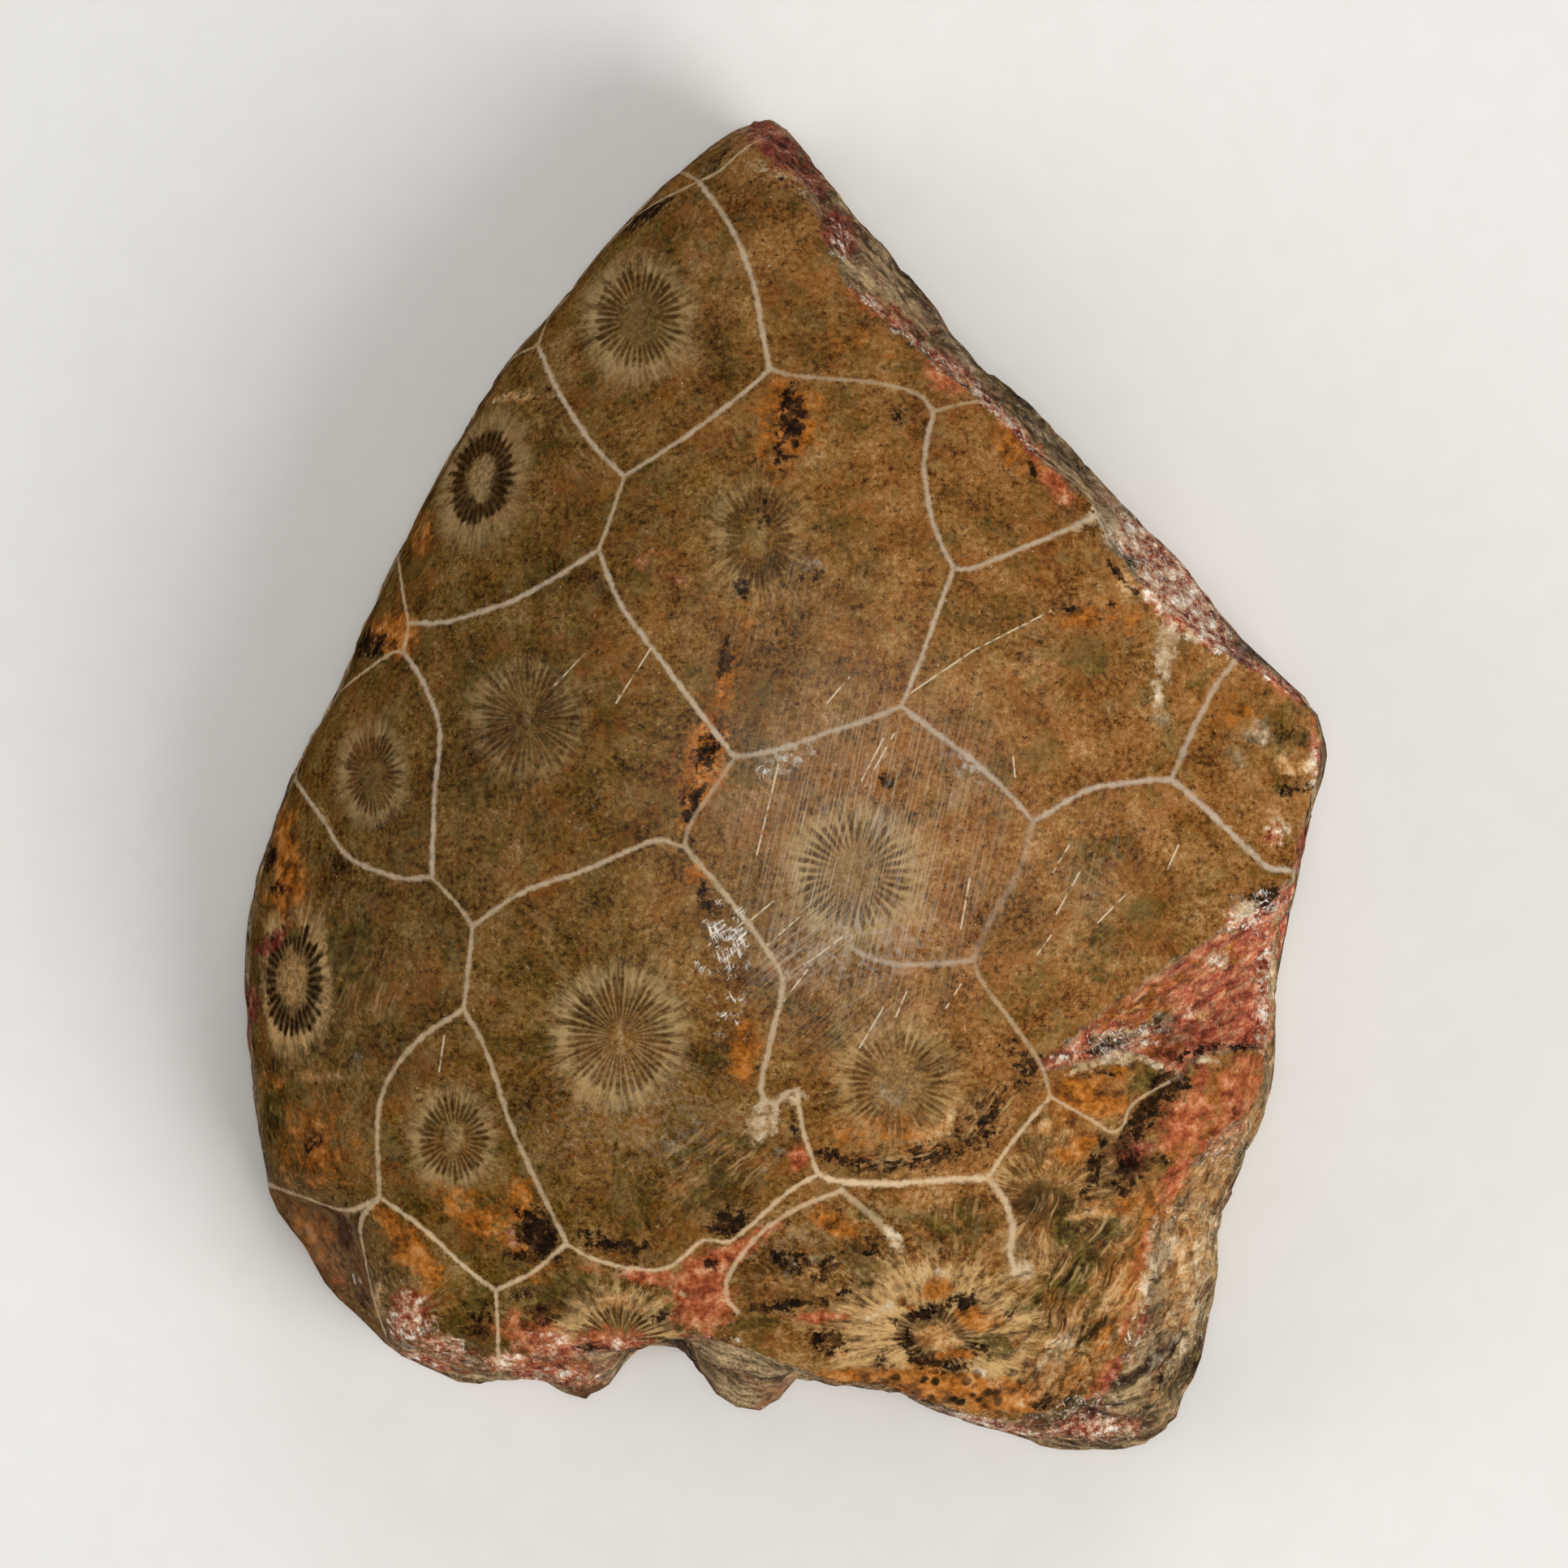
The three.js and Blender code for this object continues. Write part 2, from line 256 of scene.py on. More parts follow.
# The coral's markings. Its walls stand upright in the stone, so each is a line in plan that runs on
# down the sides and over the back. Where three walls meet, the place has a name.
CORNERS = {
    "tip": (-0.9, 36.3), "saddle": (-4.8, 33.8), "collar": (-13.8, 24.6), "brow": (-0.8, 23.1),
    "temple": (8.3, 20.7), "throat": (-8.9, 17.1), "ear": (9.4, 11.9), "neck": (-10.3, 13.0),
    "strap": (-21.0, 9.0), "buckle": (-21.3, 7.4), "hub": (-2.7, 1.5), "yoke": (6.5, 4.3),
    "peg": (13.8, -2.1), "fork": (21.5, 0.2), "eye": (-27.5, 0.2), "heel": (-19.6, -5.2),
    "ankle": (-17.3, -7.9), "sill": (-5.5, -3.5), "elbow": (10.5, -9.7), "knee": (-17.8, -12.5),
    "hook": (0.7, -17.0), "hip": (14.8, -17.4), "bar": (1.9, -21.7), "post": (11.3, -21.9),
    "toe": (-22.6, -23.1), "sole": (-12.1, -25.6), "tail": (-16.1, -28.3), "bay": (3.2, -22.6),
}

# Each wall: where it starts, the points that it passes, where it ends (or None), how thick it looks in
# mm, its tone (0 blue-grey, 1 cream) and how clearly it shows.
WALLS = [
    ("tip", [(-1.9, 35.8), (-2.8, 35.1), (-3.7, 34.3)], "saddle", 0.42, 0.7, 0.75),
    ("saddle", [(-5.4, 34.2), (-5.9, 34.5)], None, 0.36, 0.7, 0.5),
    ("saddle", [(-8.1, 32.1), (-10.8, 29.6), (-11.8, 28.0), (-13.1, 26.6)], "collar", 0.36, 0.8, 0.6),
    ("saddle", [(-3.2, 31.5), (-2.3, 29.6), (-1.6, 27.5), (-1.3, 25.7)], "brow", 0.46, 0.35, 1.0),
    ("collar", [(-12.7, 22.1), (-11.3, 19.8), (-10.4, 18.6)], "throat", 0.46, 0.3, 1.0),
    ("collar", [(-14.9, 24.2), (-15.9, 23.8)], None, 0.40, 0.5, 0.8),
    ("brow", [(-1.6, 22.3), (-3.2, 21.0), (-5.2, 19.5), (-7.0, 18.3)], "throat", 0.42, 0.35, 0.95),
    ("brow", [(0.0, 22.8), (1.7, 22.6), (5.1, 22.3), (7.4, 21.7)], "temple", 0.42, 0.45, 0.7),
    ("temple", [(9.3, 21.0), (10.7, 21.3)], None, 0.32, 0.6, 0.5),
    ("temple", [(7.9, 18.8), (7.8, 17.3), (8.3, 14.4)], "ear", 0.44, 0.25, 0.85),
    ("ear", [(10.5, 12.0), (13.0, 13.0), (16.3, 14.4), (18.3, 15.5), (20.5, 16.6)], None, 0.46, 0.3, 0.9),
    ("throat", [(-9.1, 16.4), (-9.7, 14.6)], "neck", 0.38, 0.45, 0.9),
    ("neck", [(-13.2, 11.2), (-15.1, 10.2), (-18.6, 9.1), (-20.3, 9.0)], "strap", 0.46, 0.3, 1.0),
    ("strap", [(-21.3, 10.4), (-21.6, 12.1), (-21.9, 13.4)], None, 0.38, 0.6, 0.85),
    ("strap", [(-21.1, 8.2)], "buckle", 0.50, 1.0, 0.7),
    ("buckle", [(-21.8, 7.4), (-23.1, 6.6), (-25.3, 4.9), (-26.8, 2.8), (-27.3, 1.6)], "eye", 0.36, 0.8, 0.7),
    ("buckle", [(-20.2, 5.8), (-19.2, 3.1), (-19.4, 0.2), (-19.5, -1.5)], "heel", 0.50, 0.25, 1.0),
    ("eye", [(-25.9, -1.9), (-24.3, -4.1), (-21.5, -5.2)], "heel", 0.44, 0.35, 0.95),
    ("neck", [(-9.3, 10.4), (-8.4, 9.0), (-6.1, 5.9), (-4.0, 3.1)], "hub", 0.44, 0.3, 1.0),
    ("heel", [(-18.0, -6.9)], "ankle", 0.36, 0.6, 0.8),
    ("ankle", [(-14.5, -6.0), (-11.1, -4.8), (-8.4, -3.6), (-7.0, -3.1)], "sill", 0.42, 0.4, 0.95),
    ("sill", [(-5.3, -2.4), (-4.0, -0.4)], "hub", 0.38, 0.5, 0.6),
    ("hub", [(-0.3, 1.9), (2.3, 2.8), (4.5, 3.5)], "yoke", 0.46, 0.15, 0.7),
    ("ear", [(8.6, 9.8), (7.6, 7.0)], "yoke", 0.42, 0.3, 0.95),
    ("yoke", [(8.2, 3.0), (10.6, 1.2), (12.9, -1.0)], "peg", 0.50, 0.1, 0.75),
    ("peg", [(13.1, -4.6), (12.3, -6.1), (11.5, -7.4)], "elbow", 0.60, 0.1, 0.25),
    ("elbow", [(9.2, -9.9), (6.4, -10.0), (4.3, -9.4), (3.6, -8.9)], None, 0.50, 0.15, 0.6),
    ("peg", [(15.8, -0.9), (17.3, -0.2), (20.2, 0.2)], "fork", 0.48, 0.1, 0.85),
    ("fork", [(22.5, 2.5), (23.9, 5.3), (25.2, 7.0), (26.8, 9.0)], None, 0.50, 0.15, 0.7),
    ("fork", [(22.2, -0.3), (24.5, -2.4), (26.4, -4.2), (27.3, -4.7), (30.0, -5.0)], None, 0.52, 0.15, 0.9),
    ("sill", [(-4.0, -5.2), (-2.0, -7.7), (-0.3, -10.2), (-0.1, -11.5), (-0.8, -14.5), (-1.3, -16.8),
              (-1.0, -17.6), (-0.4, -17.8), (0.1, -17.1)], "hook", 0.48, 0.45, 0.95),
    ("hook", [(1.1, -19.4), (1.5, -20.6)], "bar", 0.42, 0.7, 0.9),
    ("bar", [(3.3, -22.1), (5.9, -22.2), (8.8, -22.0)], "post", 0.60, 0.95, 1.0),
    ("post", [(12.6, -20.0), (14.3, -17.9)], "hip", 0.38, 0.8, 0.85),
    ("hip", [(14.2, -15.5), (12.7, -13.3), (11.0, -11.0)], "elbow", 0.38, 0.6, 0.6),
    ("hip", [(16.8, -18.5), (18.3, -19.4), (18.9, -18.9), (19.4, -17.8), (22.0, -16.2)], None,
     0.30, 0.9, 0.6),
    ("post", [(12.3, -23.2), (12.7, -24.6), (12.6, -26.1), (12.9, -27.1)], None, 0.60, 0.7, 0.95),
    ("ankle", [(-17.5, -9.8)], "knee", 0.42, 0.4, 0.95),
    ("knee", [(-20.6, -14.5), (-22.3, -17.0), (-22.7, -19.2)], "toe", 0.46, 0.6, 0.95),
    ("knee", [(-16.5, -15.0), (-15.3, -18.7), (-13.9, -21.9)], "sole", 0.44, 0.45, 0.9),
    ("toe", [(-24.5, -23.9), (-27.4, -23.1), (-29.2, -22.6)], None, 0.44, 0.9, 0.85),
    ("toe", [(-23.7, -24.5), (-23.5, -26.5), (-23.0, -29.0), (-22.4, -31.0)], None, 0.46, 0.9, 0.8),
    ("toe", [(-20.2, -24.8), (-17.8, -27.0)], "tail", 0.44, 0.85, 0.95),
    ("tail", [(-14.0, -27.2)], "sole", 0.42, 0.85, 0.9),
    ("tail", [(-16.0, -30.6), (-16.0, -33.4)], None, 0.36, 0.9, 0.8),
    ("sole", [(-10.8, -26.4), (-8.4, -27.0), (-6.4, -26.9), (-4.5, -25.4), (-3.2, -25.5), (-1.9, -24.6),
              (0.3, -22.6)], "bar", 0.38, 0.9, 0.85),
    ("bay", [(0.9, -23.5), (-1.3, -25.0), (-3.0, -27.2), (-3.2, -28.6), (-2.6, -29.4)], None,
     0.42, 0.9, 0.75),
    ("bay", [(4.3, -23.5), (5.5, -24.6), (6.3, -25.7)], None, 0.60, 1.0, 0.5),
]

# Long scratches in the polish, from end to end
SCRATCHES = [
    ((-1.5, -3.9), (-0.3, 1.1)), ((4.5, -0.1), (6.1, 2.8)), ((4.3, 0.2), (5.5, 2.5)),
    ((1.3, -9.9), (3.2, -8.5)), ((0.0, -12.0), (1.3, -10.3)), ((9.8, -8.0), (10.3, -5.2)),
    ((6.8, 4.9), (10.5, 7.4)), ((10.5, 7.4), (14.8, 9.6)), ((2.4, 4.5), (3.6, 5.9)),
    ((-9.3, 4.5), (-7.4, 7.5)), ((-12.7, 5.5), (-11.1, 7.2)), ((4.2, -14.6), (5.5, -12.4)),
    ((6.2, -12.9), (6.8, -11.5)), ((9.0, -12.4), (9.8, -11.1)), ((14.0, -9.5), (14.8, -8.4)),
    ((15.1, -7.2), (16.5, -4.7)), ((14.9, -4.9), (15.8, -3.4)), ((17.4, -7.7), (19.0, -6.1)),
    ((21.3, -4.7), (21.9, -3.4)), ((12.7, 1.5), (12.8, 0.4)), ((-1.8, -7.5), (-0.6, -6.5)),
    ((-0.9, -8.9), (0.8, -7.4)), ((-19.2, -16.0), (-18.9, -14.0)),
]
SCRATCH_WIDTH = 0.12

# The cups of the coral animals: middle, the dark ring's outer radii across and along its tilt, tilt in
# degrees and number of septa. Then, 0 to 1: how dark the ring is, how plain its septa and how pale the
# fringe round it; how warm it is, how wide its middle is and how pale; how plain the fibres outside
# are. Last, how far out they run, in radii of the ring, and how much narrower than long the middle is.
CUPS = [
    (-8.1, 26.0, 2.35, 2.75, 0, 36, 0.60, 0.70, 0.80, 0.2, 0.50, 0.15, 0.30, 1.9, 0.0),
    (-16.9, 17.1, 1.75, 2.75, -14, 30, 0.95, 0.15, 0.65, 0.1, 0.46, 0.75, 0.20, 2.1, 0.2),
    (-1.4, 13.7, 1.9, 2.7, 0, 34, 0.55, 0.30, 0.25, 0.6, 0.45, 0.4, 0.30, 2.0, 1.2),
    (-14.2, 3.6, 2.7, 2.9, 0, 40, 0.42, 0.45, 0.50, 0.1, 0.25, 0.4, 0.45, 1.6, 2.0),
    (-23.0, 0.6, 1.5, 2.25, 0, 34, 0.40, 0.15, 0.70, 0.1, 0.45, 0.10, 0.20, 1.9, 0.0),
    (3.9, -4.9, 3.0, 3.05, 0, 35, 0.65, 0.95, 0.90, 0.15, 0.48, 0.45, 0.35, 1.8, 0.0),
    (-9.1, -14.0, 2.9, 3.15, 0, 42, 0.50, 0.65, 0.90, 0.25, 0.24, 0.8, 0.55, 1.8, 3.0),
    (-18.4, -19.8, 1.95, 2.3, 0, 32, 0.65, 0.65, 0.75, 0.2, 0.45, 0.50, 0.30, 1.8, 0.5),
    (-27.5, -11.0, 1.75, 3.2, 0, 30, 1.00, 0.30, 1.00, 0.9, 0.50, 0.8, 0.30, 1.9, 0.0),
    (6.3, -16.6, 2.7, 2.7, 0, 40, 0.50, 0.70, 0.45, 0.6, 0.58, 0.50, 0.40, 1.8, 0.0),
    (17.0, 7.1, 2.7, 2.7, 0, 36, 0.15, 0.60, 0.05, 0.6, 0.45, 0.05, 0.22, 1.9, 0.0),
    (19.7, -7.0, 3.0, 2.8, 0, 40, 0.12, 0.35, 0.00, 0.2, 0.30, 0.05, 0.32, 2.0, 0.0),
    (27.6, 1.8, 2.2, 2.2, 0, 30, 0.10, 0.20, 0.10, 0.8, 0.40, 0.3, 0.10, 2.0, 0.0),
    (8.5, -30.8, 2.4, 1.7, -12, 36, 0.75, 0.50, 0.90, 0.9, 0.50, 0.95, 1.00, 3.2, 0.0),
    (14.7, -23.1, 2.6, 2.3, 0, 34, 0.25, 0.60, 0.15, 0.7, 0.50, 0.1, 0.65, 2.2, 0.0),
    (-9.2, -31.0, 2.3, 1.7, 0, 34, 0.55, 0.60, 1.00, 0.8, 0.35, 0.1, 1.00, 2.2, 0.0),
    (-21.0, -29.7, 1.6, 2.2, 0, 28, 0.20, 0.40, 0.10, 0.7, 0.40, 0.4, 0.35, 1.8, 0.0),
]
STEEP_BELOW = 8.0  # the height below which the sides are steep
SPREAD_PER_MM = 0.2  # how much a cup's plan is spread there for each mm further down

# Stains, by what made them, with the patches of painted light: glints, a sheen, and light on the crust. Each
# patch: middle, half its length and half its width, the direction of its length in degrees, and how full it
# is.
STAINS = {
    "rust": [
        (0.4, 20.2, 2.6, 2.0, 90, 0.8), (-0.3, 18.0, 1.8, 1.5, 90, 0.6), (4.2, 24.6, 2.9, 1.8, -20, 0.45),
        (-4.4, 1.2, 3.0, 1.5, 80, 0.85), (-2.3, 9.5, 1.6, 0.8, 90, 0.5), (-3.2, 6.0, 2.5, 0.9, 80, 0.6),
        (-5.1, -1.2, 1.7, 1.1, 70, 0.7), (-4.7, -5.2, 2.0, 0.8, -70, 0.5), (-2.2, -14.7, 2.2, 0.9, 80, 0.85),
        (-21.8, 8.4, 1.5, 1.4, 0, 1.0), (-20.4, 14.0, 1.6, 0.9, 70, 0.6), (-27.9, -4.3, 4.2, 1.1, 95, 0.8),
        (-26.2, -20.2, 3.4, 2.8, 90, 0.6), (-28.0, -6.2, 1.7, 1.2, 0, 0.8), (-28.8, -16.8, 1.2, 0.7, 0, 0.6),
        (-26.8, -25.4, 2.4, 1.0, -60, 0.7), (20.6, -11.8, 3.6, 0.6, 34, 0.8),
        (19.4, -13.2, 2.6, 0.8, 25, 0.6),
        (-21.5, -24.8, 2.2, 0.9, -38, 0.7), (-20.6, -26.4, 2.6, 1.1, -40, 0.8),
        (-17.0, -24.2, 3.6, 1.2, -35, 0.75), (-14.6, -23.2, 1.9, 1.4, -60, 0.75),
        (-19.6, -28.6, 2.0, 1.2, 0, 0.5), (-13.6, -27.2, 1.9, 0.6, 25, 0.5),
        (-25.8, -25.2, 1.8, 0.9, -60, 0.6), (17.0, -17.3, 2.2, 1.2, -10, 1.0),
        (18.6, -15.9, 0.5, 0.8, 0, 1.0),
        (15.6, -18.9, 1.6, 1.0, -20, 0.7), (15.8, -20.8, 1.6, 1.1, 60, 0.65), (16.8, -19.9, 0.9, 0.7, 0, 0.8),
        (18.5, -23.5, 1.8, 0.6, 10, 0.7), (20.5, -23.4, 1.2, 0.8, -40, 0.8), (19.4, -26.8, 2.8, 0.9, 75, 0.7),
        (18.2, -30.0, 2.6, 0.8, 68, 0.6), (16.5, -33.0, 2.4, 0.7, 55, 0.5), (18.8, 9.4, 1.9, 1.1, 0, 0.65),
        (16.6, 9.3, 2.0, 0.9, 0, 0.6), (10.9, -29.8, 1.3, 0.8, -8, 1.0), (8.5, -28.1, 1.1, 0.7, 10, 1.0),
        (6.7, -28.9, 0.9, 0.5, -30, 0.8), (9.7, -31.8, 1.4, 0.35, 0, 0.9), (3.9, -33.1, 2.2, 0.7, 0, 0.9),
        (13.4, -31.2, 0.9, 0.5, 20, 0.6), (15.0, -28.8, 0.5, 0.8, 60, 0.7), (8.6, -33.7, 5.0, 1.3, -10, 1.0),
        (12.8, -34.2, 3.0, 1.2, -10, 0.8), (5.5, -19.2, 4.4, 1.2, 0, 0.5), (25.6, 3.6, 2.4, 1.4, -30, 0.5),
        (13.0, 18.6, 2.2, 1.2, -45, 0.7), (3.0, -24.5, 2.2, 0.8, -30, 0.6), (10.0, 5.6, 2.4, 1.6, 0, 0.3),
        (21.3, -14.6, 1.4, 0.8, 10, 0.7), (24.8, -9.6, 1.6, 0.9, 0, 0.6), (-8.0, 14.5, 2.2, 1.4, 0, 0.2),
        (18.0, -12.9, 2.0, 0.5, 35, 0.8), (24.5, -16.6, 1.6, 1.0, 60, 0.5), (23.0, -18.8, 2.8, 1.8, 60, 0.6),
        (6.4, 26.0, 1.4, 0.7, -35, 0.5), (-12.6, -31.8, 2.4, 0.7, -10, 0.5), (22.6, -35.4, 0.9, 0.7, 0, 0.6),
    ],
    "manganese": [
        (0.4, 20.2, 1.9, 0.8, 85, 1.0), (-0.3, 18.3, 0.9, 0.5, 90, 0.8), (-1.2, 14.8, 1.2, 0.4, 80, 0.5),
        (-2.3, 10.8, 0.6, 0.6, 0, 1.0), (-3.3, 6.8, 1.4, 0.5, 80, 0.8), (-4.2, 1.7, 1.5, 0.8, 75, 0.9),
        (-5.1, -1.1, 1.3, 0.7, 70, 0.9), (-5.3, -3.4, 0.9, 0.5, 90, 0.8), (-4.3, -6.4, 1.4, 0.4, -65, 0.8),
        (-13.8, -25.1, 1.8, 1.2, -60, 1.0), (-14.8, -26.4, 0.9, 0.5, 0, 0.8),
        (-10.9, -25.1, 0.8, 0.6, 0, 0.8),
        (-9.2, -25.7, 1.9, 0.6, -8, 0.9), (-3.0, -24.3, 1.4, 0.9, 30, 0.9), (-16.9, -30.0, 1.5, 0.8, 80, 0.7),
        (-13.6, -29.6, 1.0, 0.6, -50, 0.8), (-14.6, -28.4, 0.9, 0.5, 0, 0.7),
        (-7.0, -29.8, 0.7, 0.4, 30, 0.8),
        (-7.6, 32.0, 1.7, 0.45, 34, 0.9), (6.4, 20.5, 0.5, 0.4, 60, 0.8), (-24.6, -25.2, 1.3, 0.4, -75, 1.0),
        (-23.7, -28.8, 0.9, 0.4, -60, 0.8), (-26.4, -20.1, 0.8, 0.4, 60, 0.7),
        (-25.8, -19.6, 0.5, 0.3, 0, 0.6),
        (-28.9, -4.1, 0.9, 0.5, 90, 0.9), (-28.4, -5.9, 0.6, 0.4, 0, 0.7), (0.3, -26.5, 1.3, 0.7, -20, 0.8),
        (2.5, -26.8, 1.2, 0.6, 55, 0.8), (0.2, -29.0, 2.8, 0.4, 5, 0.8), (4.9, -25.7, 1.1, 0.6, 80, 0.6),
        (2.6, -23.7, 1.3, 0.5, -10, 0.4), (3.4, -28.3, 0.5, 0.25, 0, 0.8), (2.4, -31.1, 1.3, 0.7, 0, 0.8),
        (5.4, -32.3, 0.7, 0.3, -20, 0.7), (5.9, -31.5, 0.4, 0.3, 0, 0.7), (-23.2, 7.8, 1.2, 0.8, 15, 0.9),
        (13.5, -15.9, 1.2, 1.0, 0, 0.7), (12.6, -14.8, 1.3, 0.6, -62, 0.5), (11.2, -18.6, 2.2, 1.2, 50, 0.65),
        (8.2, -20.6, 2.2, 0.8, 16, 0.75), (5.2, -21.1, 2.4, 0.6, 3, 0.75), (2.7, -20.7, 1.2, 0.5, -10, 0.7),
        (18.5, 11.8, 1.1, 0.2, -50, 1.0), (19.5, 10.6, 0.9, 0.18, 50, 1.0), (18.0, 9.8, 0.8, 0.2, 60, 1.0),
        (19.4, 12.4, 0.5, 0.3, -40, 0.8), (15.9, 9.8, 0.4, 0.2, 0, 1.0), (13.2, 6.9, 0.5, 0.3, 0, 0.9),
        (13.9, 17.3, 0.8, 0.22, -70, 1.0), (18.3, -16.1, 2.0, 0.2, -3, 0.8),
        (19.2, -21.4, 0.95, 0.95, 0, 1.0),
        (21.5, -16.8, 1.1, 0.8, 0, 1.0), (20.2, -18.2, 1.5, 0.8, 40, 1.0), (19.4, -19.3, 0.9, 0.5, 60, 0.9),
        (17.7, -19.9, 0.35, 0.35, 0, 1.0), (17.3, -21.4, 1.3, 0.5, 78, 1.0), (16.9, -22.7, 0.5, 0.4, 0, 0.9),
        (18.8, -22.7, 0.95, 0.3, -42, 1.0), (20.9, -21.0, 0.6, 0.4, 20, 0.7),
        (15.8, -23.3, 0.6, 0.25, 0, 0.7),
        (5.8, 0.2, 0.6, 0.5, 0, 0.7), (7.7, -29.5, 1.3, 0.4, 18, 1.0), (10.0, -28.8, 1.0, 0.5, 12, 1.0),
        (6.9, -31.0, 0.4, 0.6, 0, 1.0), (7.8, -32.2, 1.2, 0.35, -22, 1.0), (9.4, -32.6, 1.0, 0.4, 0, 1.0),
        (11.0, -31.6, 0.8, 0.4, -20, 0.8), (5.9, -30.0, 0.7, 0.3, 10, 0.7), (12.6, -29.4, 0.8, 0.3, 25, 0.7),
        (28.0, 2.6, 1.3, 0.8, 0, 0.45), (28.3, -0.2, 1.4, 0.25, 10, 0.8), (0.6, -19.0, 1.1, 0.2, -75, 1.0),
        (2.0, 14.1, 0.7, 0.3, 0, 0.5), (1.4, 11.5, 0.9, 0.8, 0, 0.35), (23.2, -14.8, 1.5, 0.22, 12, 1.0),
        (25.2, -14.6, 1.0, 0.15, -5, 1.0), (22.0, -15.3, 0.7, 0.25, 30, 0.9),
        (14.6, -34.6, 0.8, 0.5, 40, 0.7),
        (21.6, -32.5, 2.2, 0.35, 62, 0.7), (-13.0, 21.5, 1.6, 0.8, -50, 0.35), (-0.5, 33.6, 1.6, 0.4, 0, 0.4),
        (-4.0, 16.0, 0.4, 0.4, 0, 0.5), (26.8, -6.3, 1.3, 0.6, 15, 0.8), (17.8, -14.6, 1.8, 0.35, 18, 0.7),
        (21.0, -13.2, 0.6, 0.4, 0, 0.7), (-8.0, 33.2, 0.5, 0.3, 30, 0.8), (-3.5, 35.0, 1.0, 0.5, 40, 0.5),
        (-4.1, -26.7, 0.35, 0.45, 0, 0.9), (-11.0, -31.5, 0.8, 0.3, 0, 0.7), (24.9, -33.0, 1.2, 0.3, 60, 0.5),
    ],
    "cream": [
        (-1.1, -18.7, 1.4, 0.9, 60, 0.8), (21.2, 7.6, 2.1, 0.75, 88, 0.8), (20.7, 5.0, 1.5, 0.4, 92, 0.7),
        (6.2, -25.4, 1.6, 0.5, -60, 0.7), (13.4, -27.1, 0.8, 0.6, 35, 1.0), (16.9, 14.7, 1.3, 0.4, 28, 0.8),
        (21.8, 11.0, 3.0, 1.3, -45, 0.4), (18.2, 14.4, 1.6, 0.7, -50, 0.7), (0.6, -17.4, 1.0, 0.4, 20, 0.8),
        (20.4, -27.0, 3.4, 0.6, 80, 0.6), (29.4, 1.0, 1.8, 0.5, 90, 0.6), (27.9, -2.4, 1.0, 0.3, -50, 0.7),
        (21.4, -26.2, 1.4, 0.7, 70, 0.8), (22.8, -30.6, 2.4, 0.5, 62, 0.7), (22.2, -28.4, 1.6, 0.6, 80, 0.5),
        (24.3, -24.6, 2.2, 0.5, 72, 0.5), (22.6, 8.2, 0.6, 0.4, 0, 0.7), (-1.0, 34.4, 1.4, 0.5, -20, 0.5),
        (27.4, -10.5, 4.5, 0.35, 88, 0.6), (18.8, -15.2, 1.5, 0.35, 3, 1.0),
        (16.6, -15.8, 1.1, 0.25, 22, 1.0), (20.6, -15.6, 0.9, 0.2, -28, 0.9),
        (23.6, -15.3, 0.9, 0.25, -15, 0.8), (18.8, -13.9, 2.0, 0.25, 5, 0.9),
        (25.6, -6.9, 0.9, 0.5, 20, 0.9), (24.9, -8.2, 0.6, 0.3, 0, 0.8), (14.6, -32.0, 1.8, 0.35, 58, 0.6),
        (19.6, 13.6, 1.6, 0.8, -45, 0.5), (26.4, 2.6, 0.9, 0.8, 0, 0.35), (-5.7, -28.3, 0.6, 0.3, -50, 0.5),
        (23.4, -27.0, 5.0, 1.1, 68, 0.5), (8.5, -27.4, 1.8, 0.5, 0, 0.5), (5.4, -29.4, 1.4, 0.5, 30, 0.5),
        (11.4, -33.2, 1.6, 0.5, -35, 0.5), (20.5, -27.0, 2.0, 0.4, 82, 0.7),
    ],
    "salmon": [
        (-4.6, -28.5, 2.6, 1.9, 90, 1.0), (-3.4, -26.4, 2.4, 0.9, 30, 0.9), (0.8, -20.8, 1.0, 0.6, 80, 1.0),
        (22.4, -18.6, 2.6, 1.6, 62, 0.85), (21.8, -22.0, 2.0, 0.8, 60, 0.8), (20.2, -25.8, 2.6, 0.5, 75, 0.7),
        (19.4, -29.4, 2.6, 0.4, 72, 0.7), (2.1, -29.7, 2.4, 0.35, 0, 0.9), (-7.6, -27.4, 2.0, 0.5, -8, 0.9),
        (25.4, -17.0, 2.6, 1.4, 75, 0.85), (24.0, -19.6, 1.6, 1.0, 60, 0.7),
        (-9.6, -31.0, 2.6, 0.8, 0, 0.8), (-13.4, -31.2, 3.0, 1.2, -15, 0.8),
        (-10.9, -27.0, 1.4, 0.6, -15, 0.6),
        (15.2, 16.6, 1.6, 0.7, -42, 0.9), (9.0, 22.4, 2.0, 0.9, -40, 0.7), (4.7, 26.8, 1.6, 0.7, -35, 0.6),
        (-0.9, -24.7, 1.5, 0.5, 40, 0.7), (-6.8, 12.2, 2.4, 1.2, -20, 0.35), (2.0, 17.5, 1.0, 0.7, 0, 0.3),
        (12.7, 20.0, 1.4, 0.7, -45, 0.6), (13.9, 18.6, 0.8, 0.5, -45, 0.9), (28.9, -3.6, 1.6, 0.5, 75, 0.8),
        (-15.2, -30.2, 1.2, 0.7, 80, 0.7), (17.6, -33.4, 2.0, 0.4, 60, 0.7), (23.2, -16.4, 0.8, 1.2, 0, 0.6),
        (27.6, 5.6, 2.4, 0.5, -38, 0.7), (29.6, 2.6, 1.4, 0.5, -80, 0.6), (-13.4, -32.8, 3.4, 0.9, -5, 0.8),
        (-25.4, -27.4, 2.0, 0.9, -60, 0.5), (-19.6, -32.6, 2.6, 0.6, -15, 0.6),
    ],
    "olive": [
